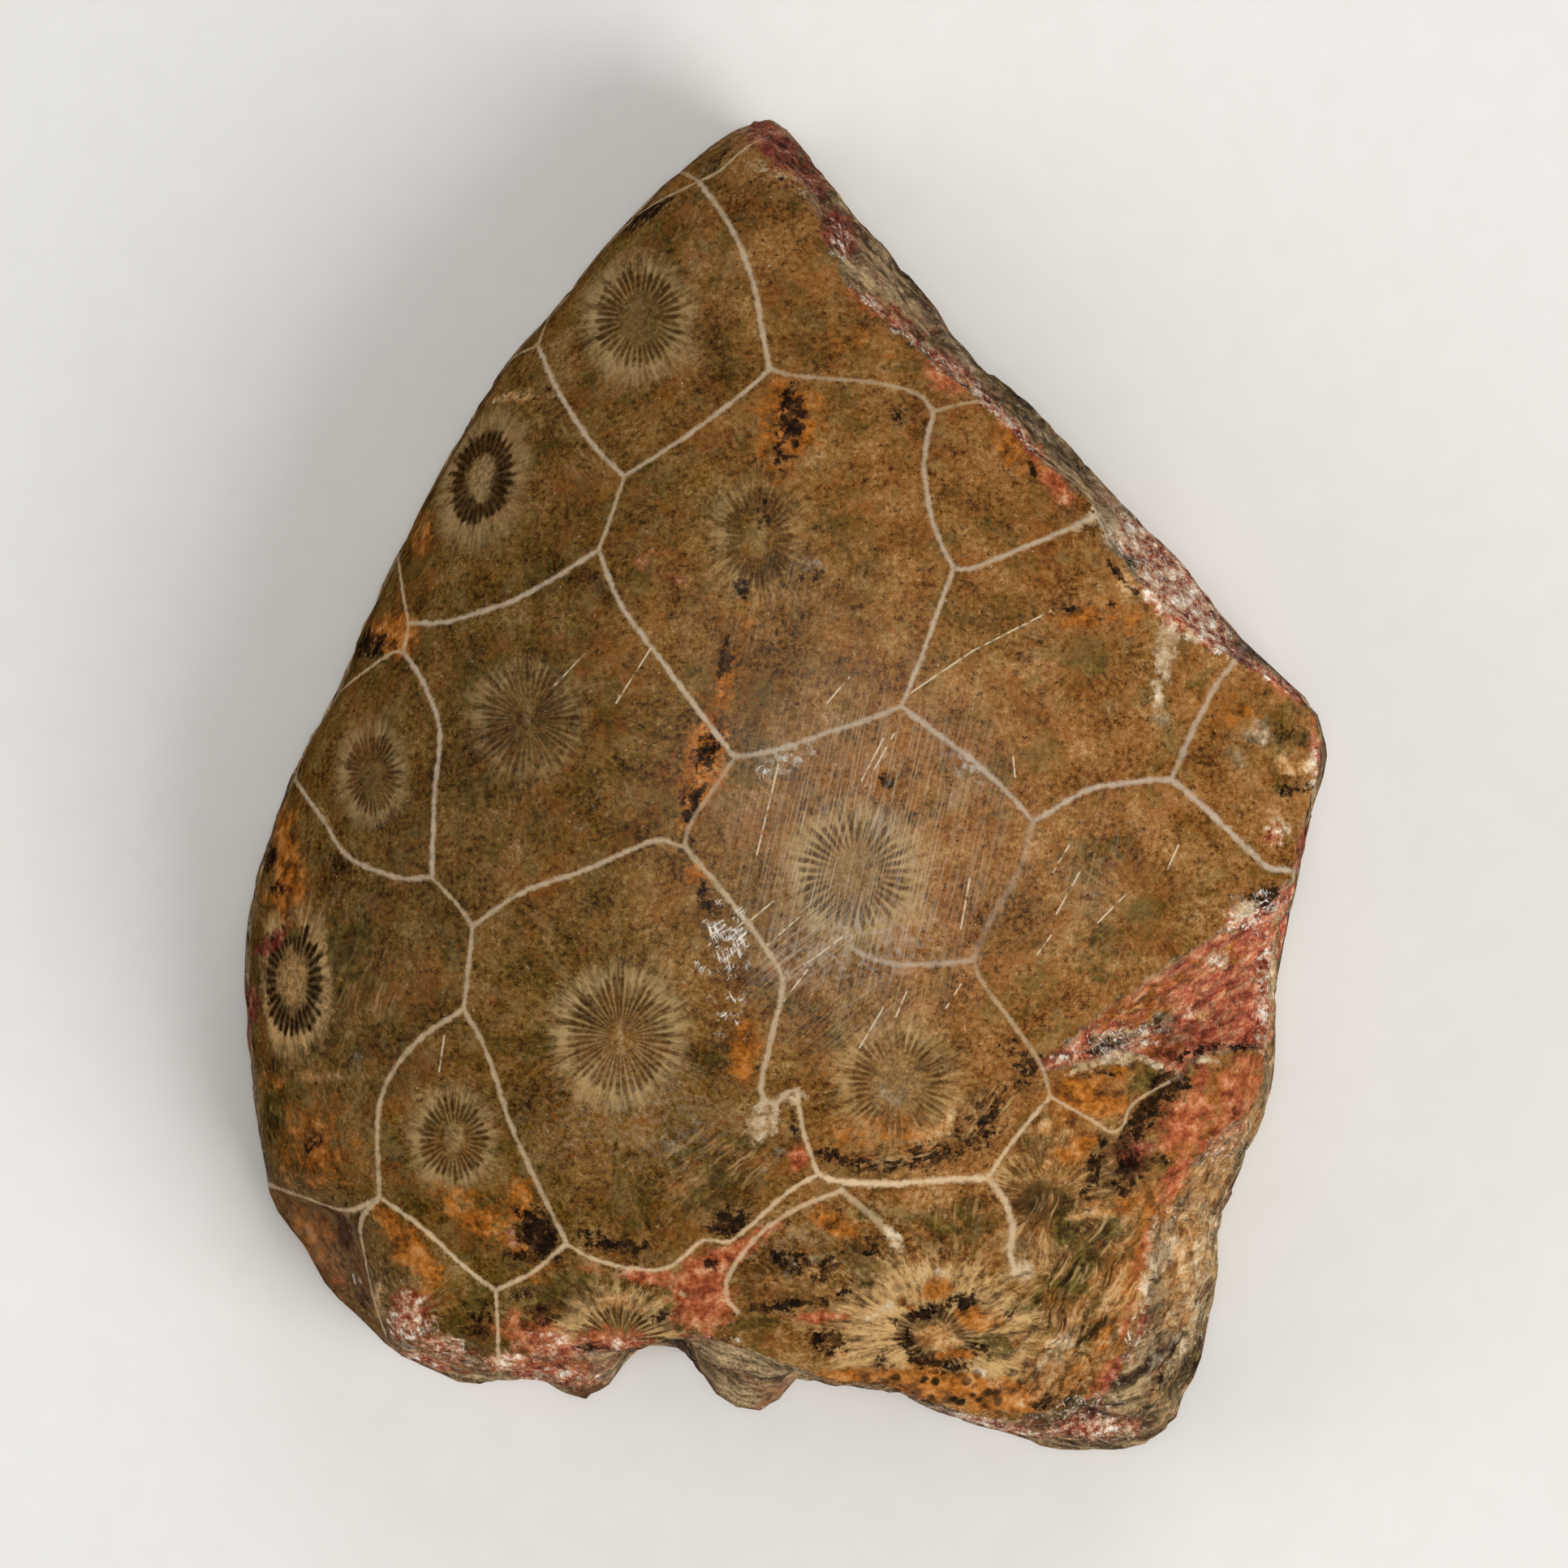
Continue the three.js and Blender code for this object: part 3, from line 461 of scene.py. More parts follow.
        (-1.6, -30.1, 1.6, 0.4, 0, 0.9), (-28.6, -18.6, 1.8, 1.0, 80, 0.8), (17.0, -26.4, 3.0, 1.0, 60, 0.9),
        (15.6, -24.8, 1.6, 1.1, 80, 0.75), (13.4, -21.0, 1.4, 0.9, 60, 0.5), (11.6, -31.3, 2.2, 0.7, -5, 0.7),
        (14.2, -28.4, 2.6, 0.8, 35, 0.7), (16.8, -30.6, 3.4, 0.8, 62, 0.6), (4.2, -27.6, 1.8, 1.0, 30, 0.5),
        (-24.5, -9.5, 4.0, 1.8, 70, 0.6), (-3.5, -21.5, 4.0, 1.2, 42, 0.5), (3.5, 29.0, 1.6, 1.0, -60, 0.4),
        (20.2, -16.4, 1.6, 0.7, 30, 0.8), (-27.6, -8.0, 1.2, 0.8, 90, 0.6), (11.5, 14.6, 2.0, 1.4, 0, 0.45),
        (9.4, -24.6, 2.6, 1.6, 0, 0.6), (4.5, -23.9, 1.4, 0.8, 0, 0.5), (-17.6, -28.6, 1.4, 1.2, 0, 0.6),
        (-12.4, -28.0, 2.4, 0.9, 20, 0.7), (-6.0, -29.2, 1.4, 1.0, 0, 0.6), (16.4, 6.4, 1.8, 1.3, 20, 0.4),
        (19.2, -24.9, 1.4, 0.4, 15, 0.6), (22.4, -33.4, 2.6, 0.8, 62, 0.6), (16.0, -35.0, 1.8, 0.7, 30, 0.7),
        (17.5, -9.5, 3.0, 2.0, 30, 0.45), (15.8, -13.0, 2.6, 1.0, 40, 0.4), (28.0, 2.5, 1.4, 0.8, 0, 0.7),
        (20.8, 5.6, 2.0, 1.6, 90, 0.3), (23.0, 6.0, 1.2, 1.6, 60, 0.5), (20.4, -13.2, 1.8, 0.6, 20, 0.8),
        (-25.4, -15.0, 2.4, 1.2, 0, 0.5), (-1.0, 12.0, 2.2, 2.4, 0, 0.3), (-5.5, 29.0, 4.5, 3.0, -40, 0.35),
    ],
    "burgundy": [
        (-0.6, 36.0, 2.6, 1.1, -50, 0.95), (3.0, 31.0, 1.8, 0.9, -70, 0.95), (29.6, 1.4, 1.8, 0.4, -85, 0.7),
        (-28.9, -8.9, 1.2, 0.6, 40, 0.9), (-30.0, -12.4, 1.2, 0.6, 90, 0.8), (15.1, -15.3, 1.1, 0.6, 15, 1.0),
        (18.3, -33.2, 1.8, 0.35, 60, 0.95), (17.4, -35.6, 1.2, 0.5, 80, 0.9),
        (-21.0, -29.6, 2.0, 1.2, 80, 0.6),
        (24.6, -12.6, 1.8, 0.8, 80, 0.6), (6.6, 25.9, 3.0, 0.5, -42, 0.7), (10.0, 22.8, 2.6, 0.5, -44, 0.8),
        (29.2, -3.8, 1.8, 0.4, 78, 0.8), (20.4, -24.9, 0.9, 0.15, 30, 1.0), (20.3, -28.8, 2.2, 0.15, 82, 0.8),
        (1.6, 34.0, 1.8, 0.8, -60, 0.8), (13.4, 19.2, 1.6, 0.4, -48, 0.8), (23.2, -15.6, 0.9, 0.4, 0, 0.8),
        (26.6, -13.0, 2.4, 0.5, 85, 0.8), (19.4, -20.6, 1.6, 1.2, 70, 0.6), (25.6, 7.0, 2.2, 0.35, -38, 0.8),
        (-15.3, -25.4, 0.6, 0.8, 0, 0.6), (28.4, 5.4, 1.0, 0.3, -50, 0.8), (25.2, -18.2, 1.0, 0.5, 60, 0.6),
    ],
    "grey": [
        (-23.8, -15.3, 1.0, 0.6, 40, 0.5), (-13.2, -8.1, 0.9, 0.6, 0, 0.35), (-13.3, -16.4, 0.8, 0.4, 0, 0.3),
        (0.6, -26.0, 2.0, 1.4, 0, 0.5), (5.8, -17.2, 1.8, 1.6, 0, 0.4), (18.2, -14.5, 2.6, 0.7, 12, 0.9),
        (21.0, -13.3, 1.0, 0.7, 0, 0.7), (26.3, -6.8, 1.8, 1.0, 15, 0.7), (10.0, 24.6, 3.2, 0.8, -45, 0.7),
        (14.5, 20.2, 2.6, 0.9, -45, 0.6), (1.4, 11.8, 1.2, 1.0, 0, 0.35), (-4.5, 34.6, 1.0, 0.4, 40, 0.5),
        (26.4, 2.9, 1.2, 0.8, 0, 0.8), (25.0, 1.4, 0.9, 0.8, 0, 0.6), (5.5, 31.0, 2.0, 0.7, -60, 0.3),
        (15.6, -31.4, 2.4, 0.8, 60, 0.6), (20.8, 3.6, 0.7, 0.6, 0, 0.7), (18.8, 13.2, 1.8, 1.0, -50, 0.8),
        (-0.6, -21.0, 1.4, 0.6, 60, 0.5), (-6.0, -19.6, 2.6, 1.6, 30, 0.35), (0.4, -13.6, 2.0, 1.6, 0, 0.3),
        (21.3, -32.2, 1.8, 0.7, 62, 0.9), (17.4, 16.8, 1.4, 0.5, -45, 0.7), (-11.3, -2.4, 0.6, 0.4, 0, 0.5),
        (-9.5, -33.0, 1.6, 1.0, 0, 0.5), (17.4, -6.0, 2.4, 2.0, 0, 0.25), (18.3, -4.4, 0.8, 0.6, 0, 0.5),
    ],
    "gold": [
        (-14.8, 21.7, 2.2, 0.4, 3, 0.6), (14.7, -18.9, 1.2, 0.7, 0, 0.6), (14.8, -20.8, 1.3, 0.35, 80, 0.7),
        (17.0, -23.9, 1.7, 0.45, 5, 0.7), (15.3, -21.9, 0.9, 0.5, 0, 0.6), (12.4, -29.3, 2.0, 0.6, 28, 0.6),
        (20.3, -23.0, 0.9, 0.2, 45, 0.9), (21.3, -23.8, 1.0, 0.25, -50, 0.9),
        (-26.0, -16.4, 1.8, 0.5, 0, 0.6),
        (28.4, 1.1, 1.6, 0.7, 0, 0.95), (18.0, -31.8, 3.0, 0.5, 62, 0.6), (3.0, -31.9, 2.0, 0.5, 0, 0.5),
        (-27.6, 3.2, 1.2, 0.6, 60, 0.4), (-19.5, 20.0, 1.6, 0.5, 55, 0.5), (22.6, -26.4, 3.2, 1.7, 80, 1.0),
        (24.0, -22.0, 2.4, 1.4, 62, 0.8), (26.0, -18.6, 2.0, 1.0, 68, 0.8), (22.0, -29.6, 2.4, 1.2, 75, 0.7),
        (27.3, -12.0, 5.0, 0.5, 88, 0.7), (24.0, -9.9, 1.2, 0.7, 20, 0.7), (19.2, -12.9, 1.4, 0.5, 20, 0.6),
        (23.3, -12.9, 0.6, 0.4, 0, 0.6), (19.2, 11.2, 1.5, 0.9, -30, 0.7), (24.6, -19.0, 1.6, 0.9, 50, 0.5),
        (8.6, -30.85, 1.25, 0.75, -20, 1.0), (15.2, -31.6, 3.4, 1.3, 58, 0.7),
        (18.4, -28.6, 2.8, 0.7, 66, 0.6),
        (-22.8, -28.8, 2.2, 0.3, 82, 0.6), (20.5, -34.5, 2.2, 0.8, 70, 0.5), (-14.0, -32.8, 3.0, 0.4, 0, 0.5),
        (-9.0, -29.0, 2.6, 0.8, 0, 0.6), (9.0, -18.9, 2.4, 0.8, 35, 0.5),
    ],
    # Painted glints: patches where crystal faces and scuffs are painted near-white as if they caught the
    # light
    "painted_glints": [
        (-3.5, -8.6, 2.8, 1.7, 78, 1.0), (-2.9, -11.8, 2.6, 1.6, 82, 0.8),
        (3.0, 29.2, 0.8, 0.4, 0, 0.9), (4.4, 27.0, 1.0, 0.3, -40, 1.0),
        (-0.9, 0.9, 2.4, 0.9, 20, 0.6), (10.6, 0.2, 1.6, 0.6, -60, 0.5), (1.0, -10.2, 1.6, 0.9, 40, 0.6),
        (6.4, 25.2, 1.4, 0.3, -40, 1.0), (8.4, 23.6, 1.4, 0.35, -45, 0.9), (10.6, 21.9, 1.5, 0.35, -45, 0.9),
        (13.0, 19.6, 1.8, 0.35, -52, 0.9), (-3.0, -31.0, 1.2, 0.3, 0, 0.9), (27.7, -2.6, 0.5, 0.6, 90, 0.8),
        (18.4, -14.2, 2.6, 0.7, 12, 0.9), (26.2, -7.0, 2.0, 1.3, 15, 1.0), (22.0, 11.0, 4.4, 1.2, -45, 0.7),
        (-23.8, -15.3, 0.8, 0.5, 40, 0.6), (19.2, -21.6, 0.5, 0.4, 0, 0.7), (-24.1, -27.8, 0.6, 0.4, 0, 0.9),
        (-23.4, -29.6, 0.6, 0.4, -60, 0.9), (24.5, -20.0, 2.0, 1.6, 60, 0.4),
        (26.9, -12.0, 3.6, 0.5, 88, 0.7),
        (19.6, -29.6, 3.2, 0.3, 75, 0.6), (5.8, 0.1, 0.4, 0.3, 0, 0.9), (0.8, 33.2, 1.0, 0.6, 0, 0.6),
        (18.9, 15.3, 1.2, 0.2, -30, 0.9), (28.1, 5.6, 0.6, 0.2, -40, 0.9), (21.6, -24.0, 0.7, 0.4, 45, 0.8),
        (-12.6, -30.9, 2.4, 0.7, 0, 0.4), (-20.5, -30.8, 2.2, 1.2, -20, 0.6),
        (9.5, -35.3, 5.0, 0.3, -15, 0.7),
        (-10.5, -1.4, 0.4, 0.4, 0, 0.5), (11.0, -18.6, 1.8, 0.9, 50, 0.5), (16.5, -34.8, 2.4, 1.0, 0, 0.5),
    ],
    "fine scratches": [
        (5.0, -3.5, 8.5, 7.0, 80, 1.0), (16.5, -4.0, 4.0, 3.0, 60, 0.3), (-1.0, 10.0, 6.0, 3.0, 30, 0.25),
    ],
    "slanting scratches": [
        (1.2, -9.2, 3.2, 2.0, 45, 1.0), (4.0, -13.0, 4.0, 2.0, 10, 0.6), (16.0, -7.0, 4.0, 3.0, 60, 0.25),
    ],
    # Painted sheen: pale grey veils where the polish is painted as if it showed the lamp's sheen
    "painted_sheen": [
        (0.4, 1.4, 1.6, 0.7, 15, 0.9), (10.2, 0.9, 1.2, 0.7, -45, 0.6), (4.0, -9.0, 5.0, 2.0, 10, 0.3),
        (-7.5, -19.0, 6.0, 3.0, 0, 0.10),
    ],
    # Crust along the broken edges; on the upper right crest it is made paler than its own colour, as painted
    # light
    "crust_and_painted_light": [
        (22.0, 10.7, 2.8, 1.9, -45, 1.0), (20.0, 13.3, 2.4, 1.2, -45, 0.9), (23.8, 8.5, 1.8, 1.0, -42, 0.9),
        (11.6, 21.2, 4.0, 0.4, -46, 0.8), (7.0, 25.2, 3.4, 0.35, -42, 0.7), (-21.0, -29.8, 1.9, 1.5, 80, 0.7),
        (-19.0, -31.6, 2.6, 0.9, -20, 0.6), (-12.6, -31.4, 2.6, 1.1, -10, 0.55),
        (-9.0, -31.2, 2.4, 0.5, 0, 0.5),
        (26.8, -11.5, 4.2, 0.6, 88, 0.7), (25.8, -7.4, 1.6, 1.0, 20, 0.8), (15.2, -15.4, 1.0, 0.5, 15, 0.6),
        (27.2, -2.8, 0.8, 0.8, 0, 0.6), (24.6, -20.2, 1.6, 1.2, 60, 0.4), (17.6, -36.2, 2.4, 0.8, 0, 0.8),
        (12.0, -36.0, 3.4, 0.4, -14, 0.8), (29.6, 1.0, 2.6, 0.4, -85, 0.5), (3.2, 30.6, 1.6, 0.7, -60, 0.4),
        (-15.4, -32.4, 1.6, 0.8, 0, 0.7), (27.2, 6.0, 2.0, 0.35, -40, 0.8), (20.0, -30.0, 3.2, 0.2, 78, 0.7),
        (-13.0, -33.2, 3.0, 0.7, -4, 0.7), (-20.4, -32.4, 2.4, 0.5, -15, 0.6),
        (19.6, -14.4, 2.0, 0.5, 10, 0.7),
        (22.6, -12.6, 0.5, 0.5, 0, 0.8), (24.2, -9.8, 0.8, 0.5, 0, 0.7), (16.0, -36.0, 2.0, 0.7, 20, 0.6),
    ],
    "spots": [
        (9.0, -33.9, 4.6, 1.2, -14, 1.0), (12.4, -33.2, 2.6, 1.6, 0, 0.8), (15.2, -34.4, 2.2, 1.2, 20, 0.9),
        (-14.0, -30.4, 1.6, 1.6, 0, 0.5), (6.2, -28.0, 1.4, 1.0, 0, 0.4), (20.8, -35.0, 1.6, 1.0, 60, 0.6),
    ],
    "umber": [
        (14.4, -23.2, 2.2, 1.6, -20, 0.8), (10.4, -18.0, 3.2, 1.4, 50, 0.6), (13.2, -26.0, 1.8, 0.8, 70, 0.6),
        (10.0, -25.0, 3.0, 1.8, 0, 0.6), (4.0, -26.0, 3.0, 2.0, 0, 0.6), (8.5, -30.7, 2.0, 1.5, -12, 0.9),
        (18.6, -20.8, 2.2, 2.2, 0, 0.7), (-24.0, -11.5, 3.4, 1.4, 70, 0.5), (-28.0, -4.0, 3.6, 1.2, -75, 0.5),
        (20.6, -17.4, 2.6, 1.4, 40, 0.6), (-14.0, -25.6, 2.2, 1.6, 0, 0.6), (-0.5, -27.6, 3.4, 2.4, 0, 0.6),
        (16.0, -27.0, 4.0, 1.6, 58, 0.5), (-24.6, -26.0, 1.8, 0.9, -70, 0.6),
        (-11.6, -28.8, 3.0, 1.4, 0, 0.6),
        (4.0, -21.0, 4.0, 0.8, 5, 0.5), (13.4, -15.8, 1.6, 1.2, 60, 0.5), (-29.4, -11.0, 0.9, 3.0, 0, 0.6),
        (12.0, 23.2, 10.0, 1.6, -48, 0.85), (9.4, -33.4, 5.0, 0.9, -12, 0.4),
        (-26.4, -20.0, 2.8, 2.4, 0, 0.4),
        (-3.4, -22.6, 3.4, 1.6, 35, 0.5), (18.8, -15.7, 2.6, 0.6, 0, 0.7), (-6.0, -30.2, 1.8, 0.8, 0, 0.6),
    ],
}

# Streaks that flow through the stone: middle, half length, half width, direction and how plain
STREAKS = [
    (17.0, -28.6, 6.5, 3.4, 60, 1.0), (13.0, -29.0, 3.2, 1.8, 28, 0.9), (15.4, -32.4, 3.6, 2.2, 58, 0.9),
    (-24.0, -12.9, 5.0, 2.4, 66, 0.45), (-4.0, -21.3, 5.0, 2.6, 42, 0.6), (-11.7, 18.8, 2.4, 1.4, -50, 0.4),
    (7.0, -20.6, 5.0, 0.9, 10, 0.9),
    (22.5, -31.0, 6.0, 2.2, 66, 0.8), (11.2, -18.4, 3.0, 1.2, 55, 0.8), (10.0, 24.0, 9.0, 2.0, -48, 0.6),
    (25.0, -21.0, 3.5, 2.0, 58, 0.6), (-25.0, -3.0, 3.0, 1.0, -65, 0.5), (15.0, -24.4, 2.4, 1.6, 80, 0.8),
    (22.6, -12.0, 5.0, 2.4, 28, 0.5), (9.6, -24.6, 2.6, 1.6, 84, 0.6), (-26.2, -26.2, 3.6, 1.6, -62, 0.5),
    (26.0, -16.6, 2.6, 1.4, 75, 0.5), (-9.0, -32.6, 4.0, 0.8, -5, 0.5), (16.2, 18.4, 4.0, 1.2, -48, 0.6),
]


def smooth_line(points, step=0.35):
    """Points at close steps along a smooth curve through the given ones."""
    ends = [2 * points[0] - points[1]] + list(points) + [2 * points[-1] - points[-2]]
    line = []
    for a, b, c, d in zip(ends[:-3], ends[1:-2], ends[2:-1], ends[3:]):
        count = max(1, round(math.dist(b, c) / step))
        square = 2 * a - 5 * b + 4 * c - d
        cube = 3 * b - a - 3 * c + d
        for t in np.arange(count) / count:
            line.append(0.5 * (2 * b + (c - a) * t + square * t**2 + cube * t**3))
    return np.array(line + [points[-1]])


def lines_of_walls():
    """Each wall as a smooth line in plan."""
    for start, between, end, *_ in WALLS:
        ends = [CORNERS[end]] if end else []
        yield smooth_line(np.array([CORNERS[start]] + between + ends, float))


def beside_lines(points, normals, lines):
    """For every line and point: distance, how far to the left along the surface, and how far past an end."""
    rows = []
    for line in lines:
        distance, left, past, leftwards = distance_to_line(points[:, :2], line)
        lean = np.sqrt(np.clip(1 - (normals[:, :2] * leftwards).sum(axis=1) ** 2, 0.09, 1))
        rows.append((distance, left / lean, past))
    return np.array(rows).transpose(1, 0, 2)


def store_nearest_three(mesh, name, beside, widths, corners):
    """Keep on the mesh, for the three lines nearest to each triangle, how far its corners are to the
    left of the line and past its end, as shares of the line's half width."""
    distance, left, past = beside
    near = np.argpartition(distance[:, corners].mean(axis=2), 3, axis=0)[:3]
    lefts = []
    pasts = []
    for row in near:
        half_width = np.array(widths)[row][:, None] / 2
        side = left[row[:, None], corners]
        crossing = np.abs(side).max(axis=1) < 1.0
        side = np.where(crossing[:, None], side, np.abs(side))
        lefts.append((side / half_width).reshape(-1))
        pasts.append((past[row[:, None], corners] / half_width).reshape(-1))
    store(mesh, name, "CORNER", np.stack(lefts, axis=1))
    store(mesh, name + "_end", "CORNER", np.clip(np.stack(pasts, axis=1), -20, 20))


def blend_by_nearness(distance, looks):
    """Each line's look, spread to the points round it."""
    weight = 1 / (distance**2 + 0.02) ** 2
    return (looks.T @ weight).T / weight.sum(axis=0)[:, None]


def cup_of_each_point(mesh, points, wall_distance):
    """Which cup's cell each point is in, found by spreading out from the cups and slowing at walls."""
    links = [[] for _ in points]
    for a, b in np.array([edge.vertices for edge in mesh.edges]):
        slowing = math.exp(-((wall_distance[a] + wall_distance[b]) / 0.5) ** 2)
        length = math.dist(points[a], points[b]) * (1 + 60 * slowing)
        links[a].append((b, length))
        links[b].append((a, length))
    cost = np.full(len(points), 1e9)
    owner = np.zeros(len(points), int)
    queue = []
    for number, (x, y, *_) in enumerate(CUPS):
        away = np.hypot(points[:, 0] - x, points[:, 1] - y)
        on_face = np.argmin(away + 99 * (points[:, 2] < 2))
        on_back = np.argmin(away + 99 * (points[:, 2] > 0.01))
        for start in (on_face, on_back):
            cost[start] = 0
            owner[start] = number
            heapq.heappush(queue, (0.0, int(start)))
    while queue:
        spent, here = heapq.heappop(queue)
        if spent > cost[here]:
            continue
        for there, length in links[here]:
            if spent + length < cost[there]:
                cost[there] = spent + length
                owner[there] = owner[here]
                heapq.heappush(queue, (spent + length, there))
    return owner, cost


def turned_about(points, x, y, turn):
    """Each point's place along and across a direction in plan, from a middle; turn is in radians."""
    east = points[:, 0] - x
    north = points[:, 1] - y
    return east * np.cos(turn) + north * np.sin(turn), north * np.cos(turn) - east * np.sin(turn)


def patch_weight(points, patches):
    """How full of one stain each point is, from its patches."""
    weight = np.zeros(len(points))
    for x, y, length, width, direction, full in patches:
        along, across = turned_about(points, x, y, math.radians(direction))
        away = np.hypot(along / length, across / width)
        weight = np.maximum(weight, full * (1 - eased(away, 0.25, 1.6)))
    return weight


def streak_places(points):
    """Place across and along the streaks at each point, in mm, and how plain they are there."""
    best = np.zeros((len(points), 3))
    for x, y, length, width, direction, full in STREAKS:
        along, across = turned_about(points, x, y, math.radians(direction))
        weight = full * (1 - eased(np.hypot(along / length, across / width), 0.4, 1.3))
        stronger = weight > best[:, 2]
        best = np.where(stronger[:, None], np.stack((across, along, weight), axis=1), best)
    return best


def store(mesh, name, domain, values):
    """Keep three numbers for each point or corner under a name that the material reads."""
    attribute = mesh.attributes.new(name, "FLOAT_VECTOR", domain)
    attribute.data.foreach_set("vector", np.ascontiguousarray(values, dtype=np.float32).reshape(-1))


corners = np.array([loop.vertex_index for loop in slice_mesh.loops]).reshape(-1, 3)
wall_widths = [wall[3] for wall in WALLS]
beside_walls = beside_lines(points, normals, lines_of_walls())
store_nearest_three(slice_mesh, "wall", beside_walls, wall_widths, corners)
wall_looks = np.array([(wall[4], wall[5]) for wall in WALLS])
on_back = (points[:, 2] < 0.001).astype(float)
looks = blend_by_nearness(beside_walls[0], wall_looks)
store(slice_mesh, "wall_look", "POINT", np.column_stack((looks, on_back)))

scratch_lines = [np.array(ends, float) for ends in SCRATCHES]
scratch_widths = [SCRATCH_WIDTH] * len(SCRATCHES)
beside_scratches = beside_lines(points, normals, scratch_lines)
store_nearest_three(slice_mesh, "scratch", beside_scratches, scratch_widths, corners)

wall_distance = beside_walls[0].min(axis=0)
owner, cost = cup_of_each_point(slice_mesh, points, wall_distance)
first = np.take_along_axis(corners, cost[corners].argmin(axis=1)[:, None], axis=1)[:, 0]
cups = np.array(CUPS)[owner[first]].repeat(3, axis=0)
flat = points[corners.reshape(-1)]
cup_x, cup_y = turned_about(flat, cups[:, 0], cups[:, 1], np.radians(cups[:, 4]))
# Down a steep side a cup's septa end sooner than its plan says
on_side = points[corners][:, :, 2].max(axis=1).repeat(3) > 0.01
spread = 1 + SPREAD_PER_MM * on_side * np.clip(STEEP_BELOW - flat[:, 2], 0, None)
cup_place = (cup_x / cups[:, 2] * spread, cup_y / cups[:, 3] * spread, cups[:, 5])
store(slice_mesh, "cup", "CORNER", np.column_stack(cup_place))
store(slice_mesh, "cup_ring", "CORNER", cups[:, 6:9])
store(slice_mesh, "cup_middle", "CORNER", cups[:, 9:12])
store(slice_mesh, "cup_fibres", "CORNER", cups[:, 12:15])

names = list(STAINS)
for group in range(0, len(names), 3):
    weights = [patch_weight(points, STAINS[name]) for name in names[group:group + 3]]
    store(slice_mesh, "stains_" + str(group // 3), "POINT", np.stack(weights, axis=1))
store(slice_mesh, "streaks", "POINT", streak_places(points))
chip_depth = np.where(normals[:, 2] > 0.2, depth_inside(points[:, :2], CHIP), -3)
ground_depth = depth_inside(points[:, :2], GROUND)
store(slice_mesh, "finish", "POINT", np.clip(np.column_stack((polish, chip_depth, ground_depth)), -3, 3))


def linear(colour):
    """A hex colour as the light it sends back."""
    values = [int(colour[i:i + 2], 16) / 255 for i in (1, 3, 5)]
    return [v / 12.92 if v <= 0.04045 else ((v + 0.055) / 1.055) ** 2.4 for v in values] + [1]


def add(tree, kind, links=(), out=0, **settings):
    """Add a node with its settings, links and values, and hand back one of its outputs."""
    made = tree.nodes.new("ShaderNode" + kind)
    for name, value in settings.items():
        setattr(made, name, value)
    for socket, value in dict(links).items():
        if isinstance(value, bpy.types.NodeSocket):
            tree.links.new(value, made.inputs[socket])
        else:
            made.inputs[socket].default_value = value
    return made.outputs[out]


def new_material(name):
    """An empty material and its node tree."""
    material = bpy.data.materials.new(name)
    material.use_nodes = True
    material.node_tree.nodes.clear()
    return material, material.node_tree


def finished_material(material, tree, look):
    """The material with its one shader, which has the given look."""
    shader = add(tree, "BsdfPrincipled", look)
    output = tree.nodes.new("ShaderNodeOutputMaterial")
    tree.links.new(shader, output.inputs["Surface"])
    return material


def three_parts(tree, name):
    """The three numbers kept on the mesh under a name."""
    kept = add(tree, "Attribute", out="Vector", attribute_name=name)
    split = add(tree, "SeparateXYZ", {0: kept})
    return [split.node.outputs[i] for i in range(3)]


def grain(tree, place, size, detail=2.0, low=0.3, high=0.7, most=1.0, **more):
    """Noise with lumps of a size in mm, stretched to run from 0 to the most."""
    lumps = add(tree, "TexNoise", {"Vector": place, "Scale": 1 / size, "Detail": detail, **more})
    return add(tree, "MapRange", {0: lumps, 1: low, 2: high, 4: most}, interpolation_type="SMOOTHSTEP")


def drawn_out(tree, place, direction, along, across, detail, **more):
    """Noise whose lumps have one size in mm along a direction in degrees and another across it."""
    turn = (0, 0, math.radians(direction))
    stretch = (along, across, 1.0)
    turned = add(tree, "Mapping", {0: place, "Rotation": turn, "Scale": stretch}, vector_type="TEXTURE")
    return add(tree, "TexNoise", {"Vector": turned, "Scale": 1.0, "Detail": detail, **more})


def mottled(tree, lumps, tones):
    """Stone colour that runs through several tones as the lumps go from 0 to 1."""
    shade = add(tree, "ValToRGB", {0: lumps})
    stops = shade.node.color_ramp.elements
    for index, tone in enumerate(tones):
        stop = stops[index] if index < 2 else stops.new(1.0)
        stop.position = index / (len(tones) - 1)
        stop.color = linear(tone)
    return shade


def nearest_of_three(tree, name):
    """Distance to the nearest of three lines kept on the mesh, 1 at its edge."""
    sizes = []
    for beside, past in zip(three_parts(tree, name), three_parts(tree, name + "_end")):
        aside = add(tree, "Math", {0: beside}, operation="ABSOLUTE")
        sizes.append(add(tree, "Math", {0: aside, 1: past}, operation="MAXIMUM"))
    nearer = add(tree, "Math", {0: sizes[0], 1: sizes[1]}, operation="MINIMUM")
    return add(tree, "Math", {0: nearer, 1: sizes[2]}, operation="MINIMUM")


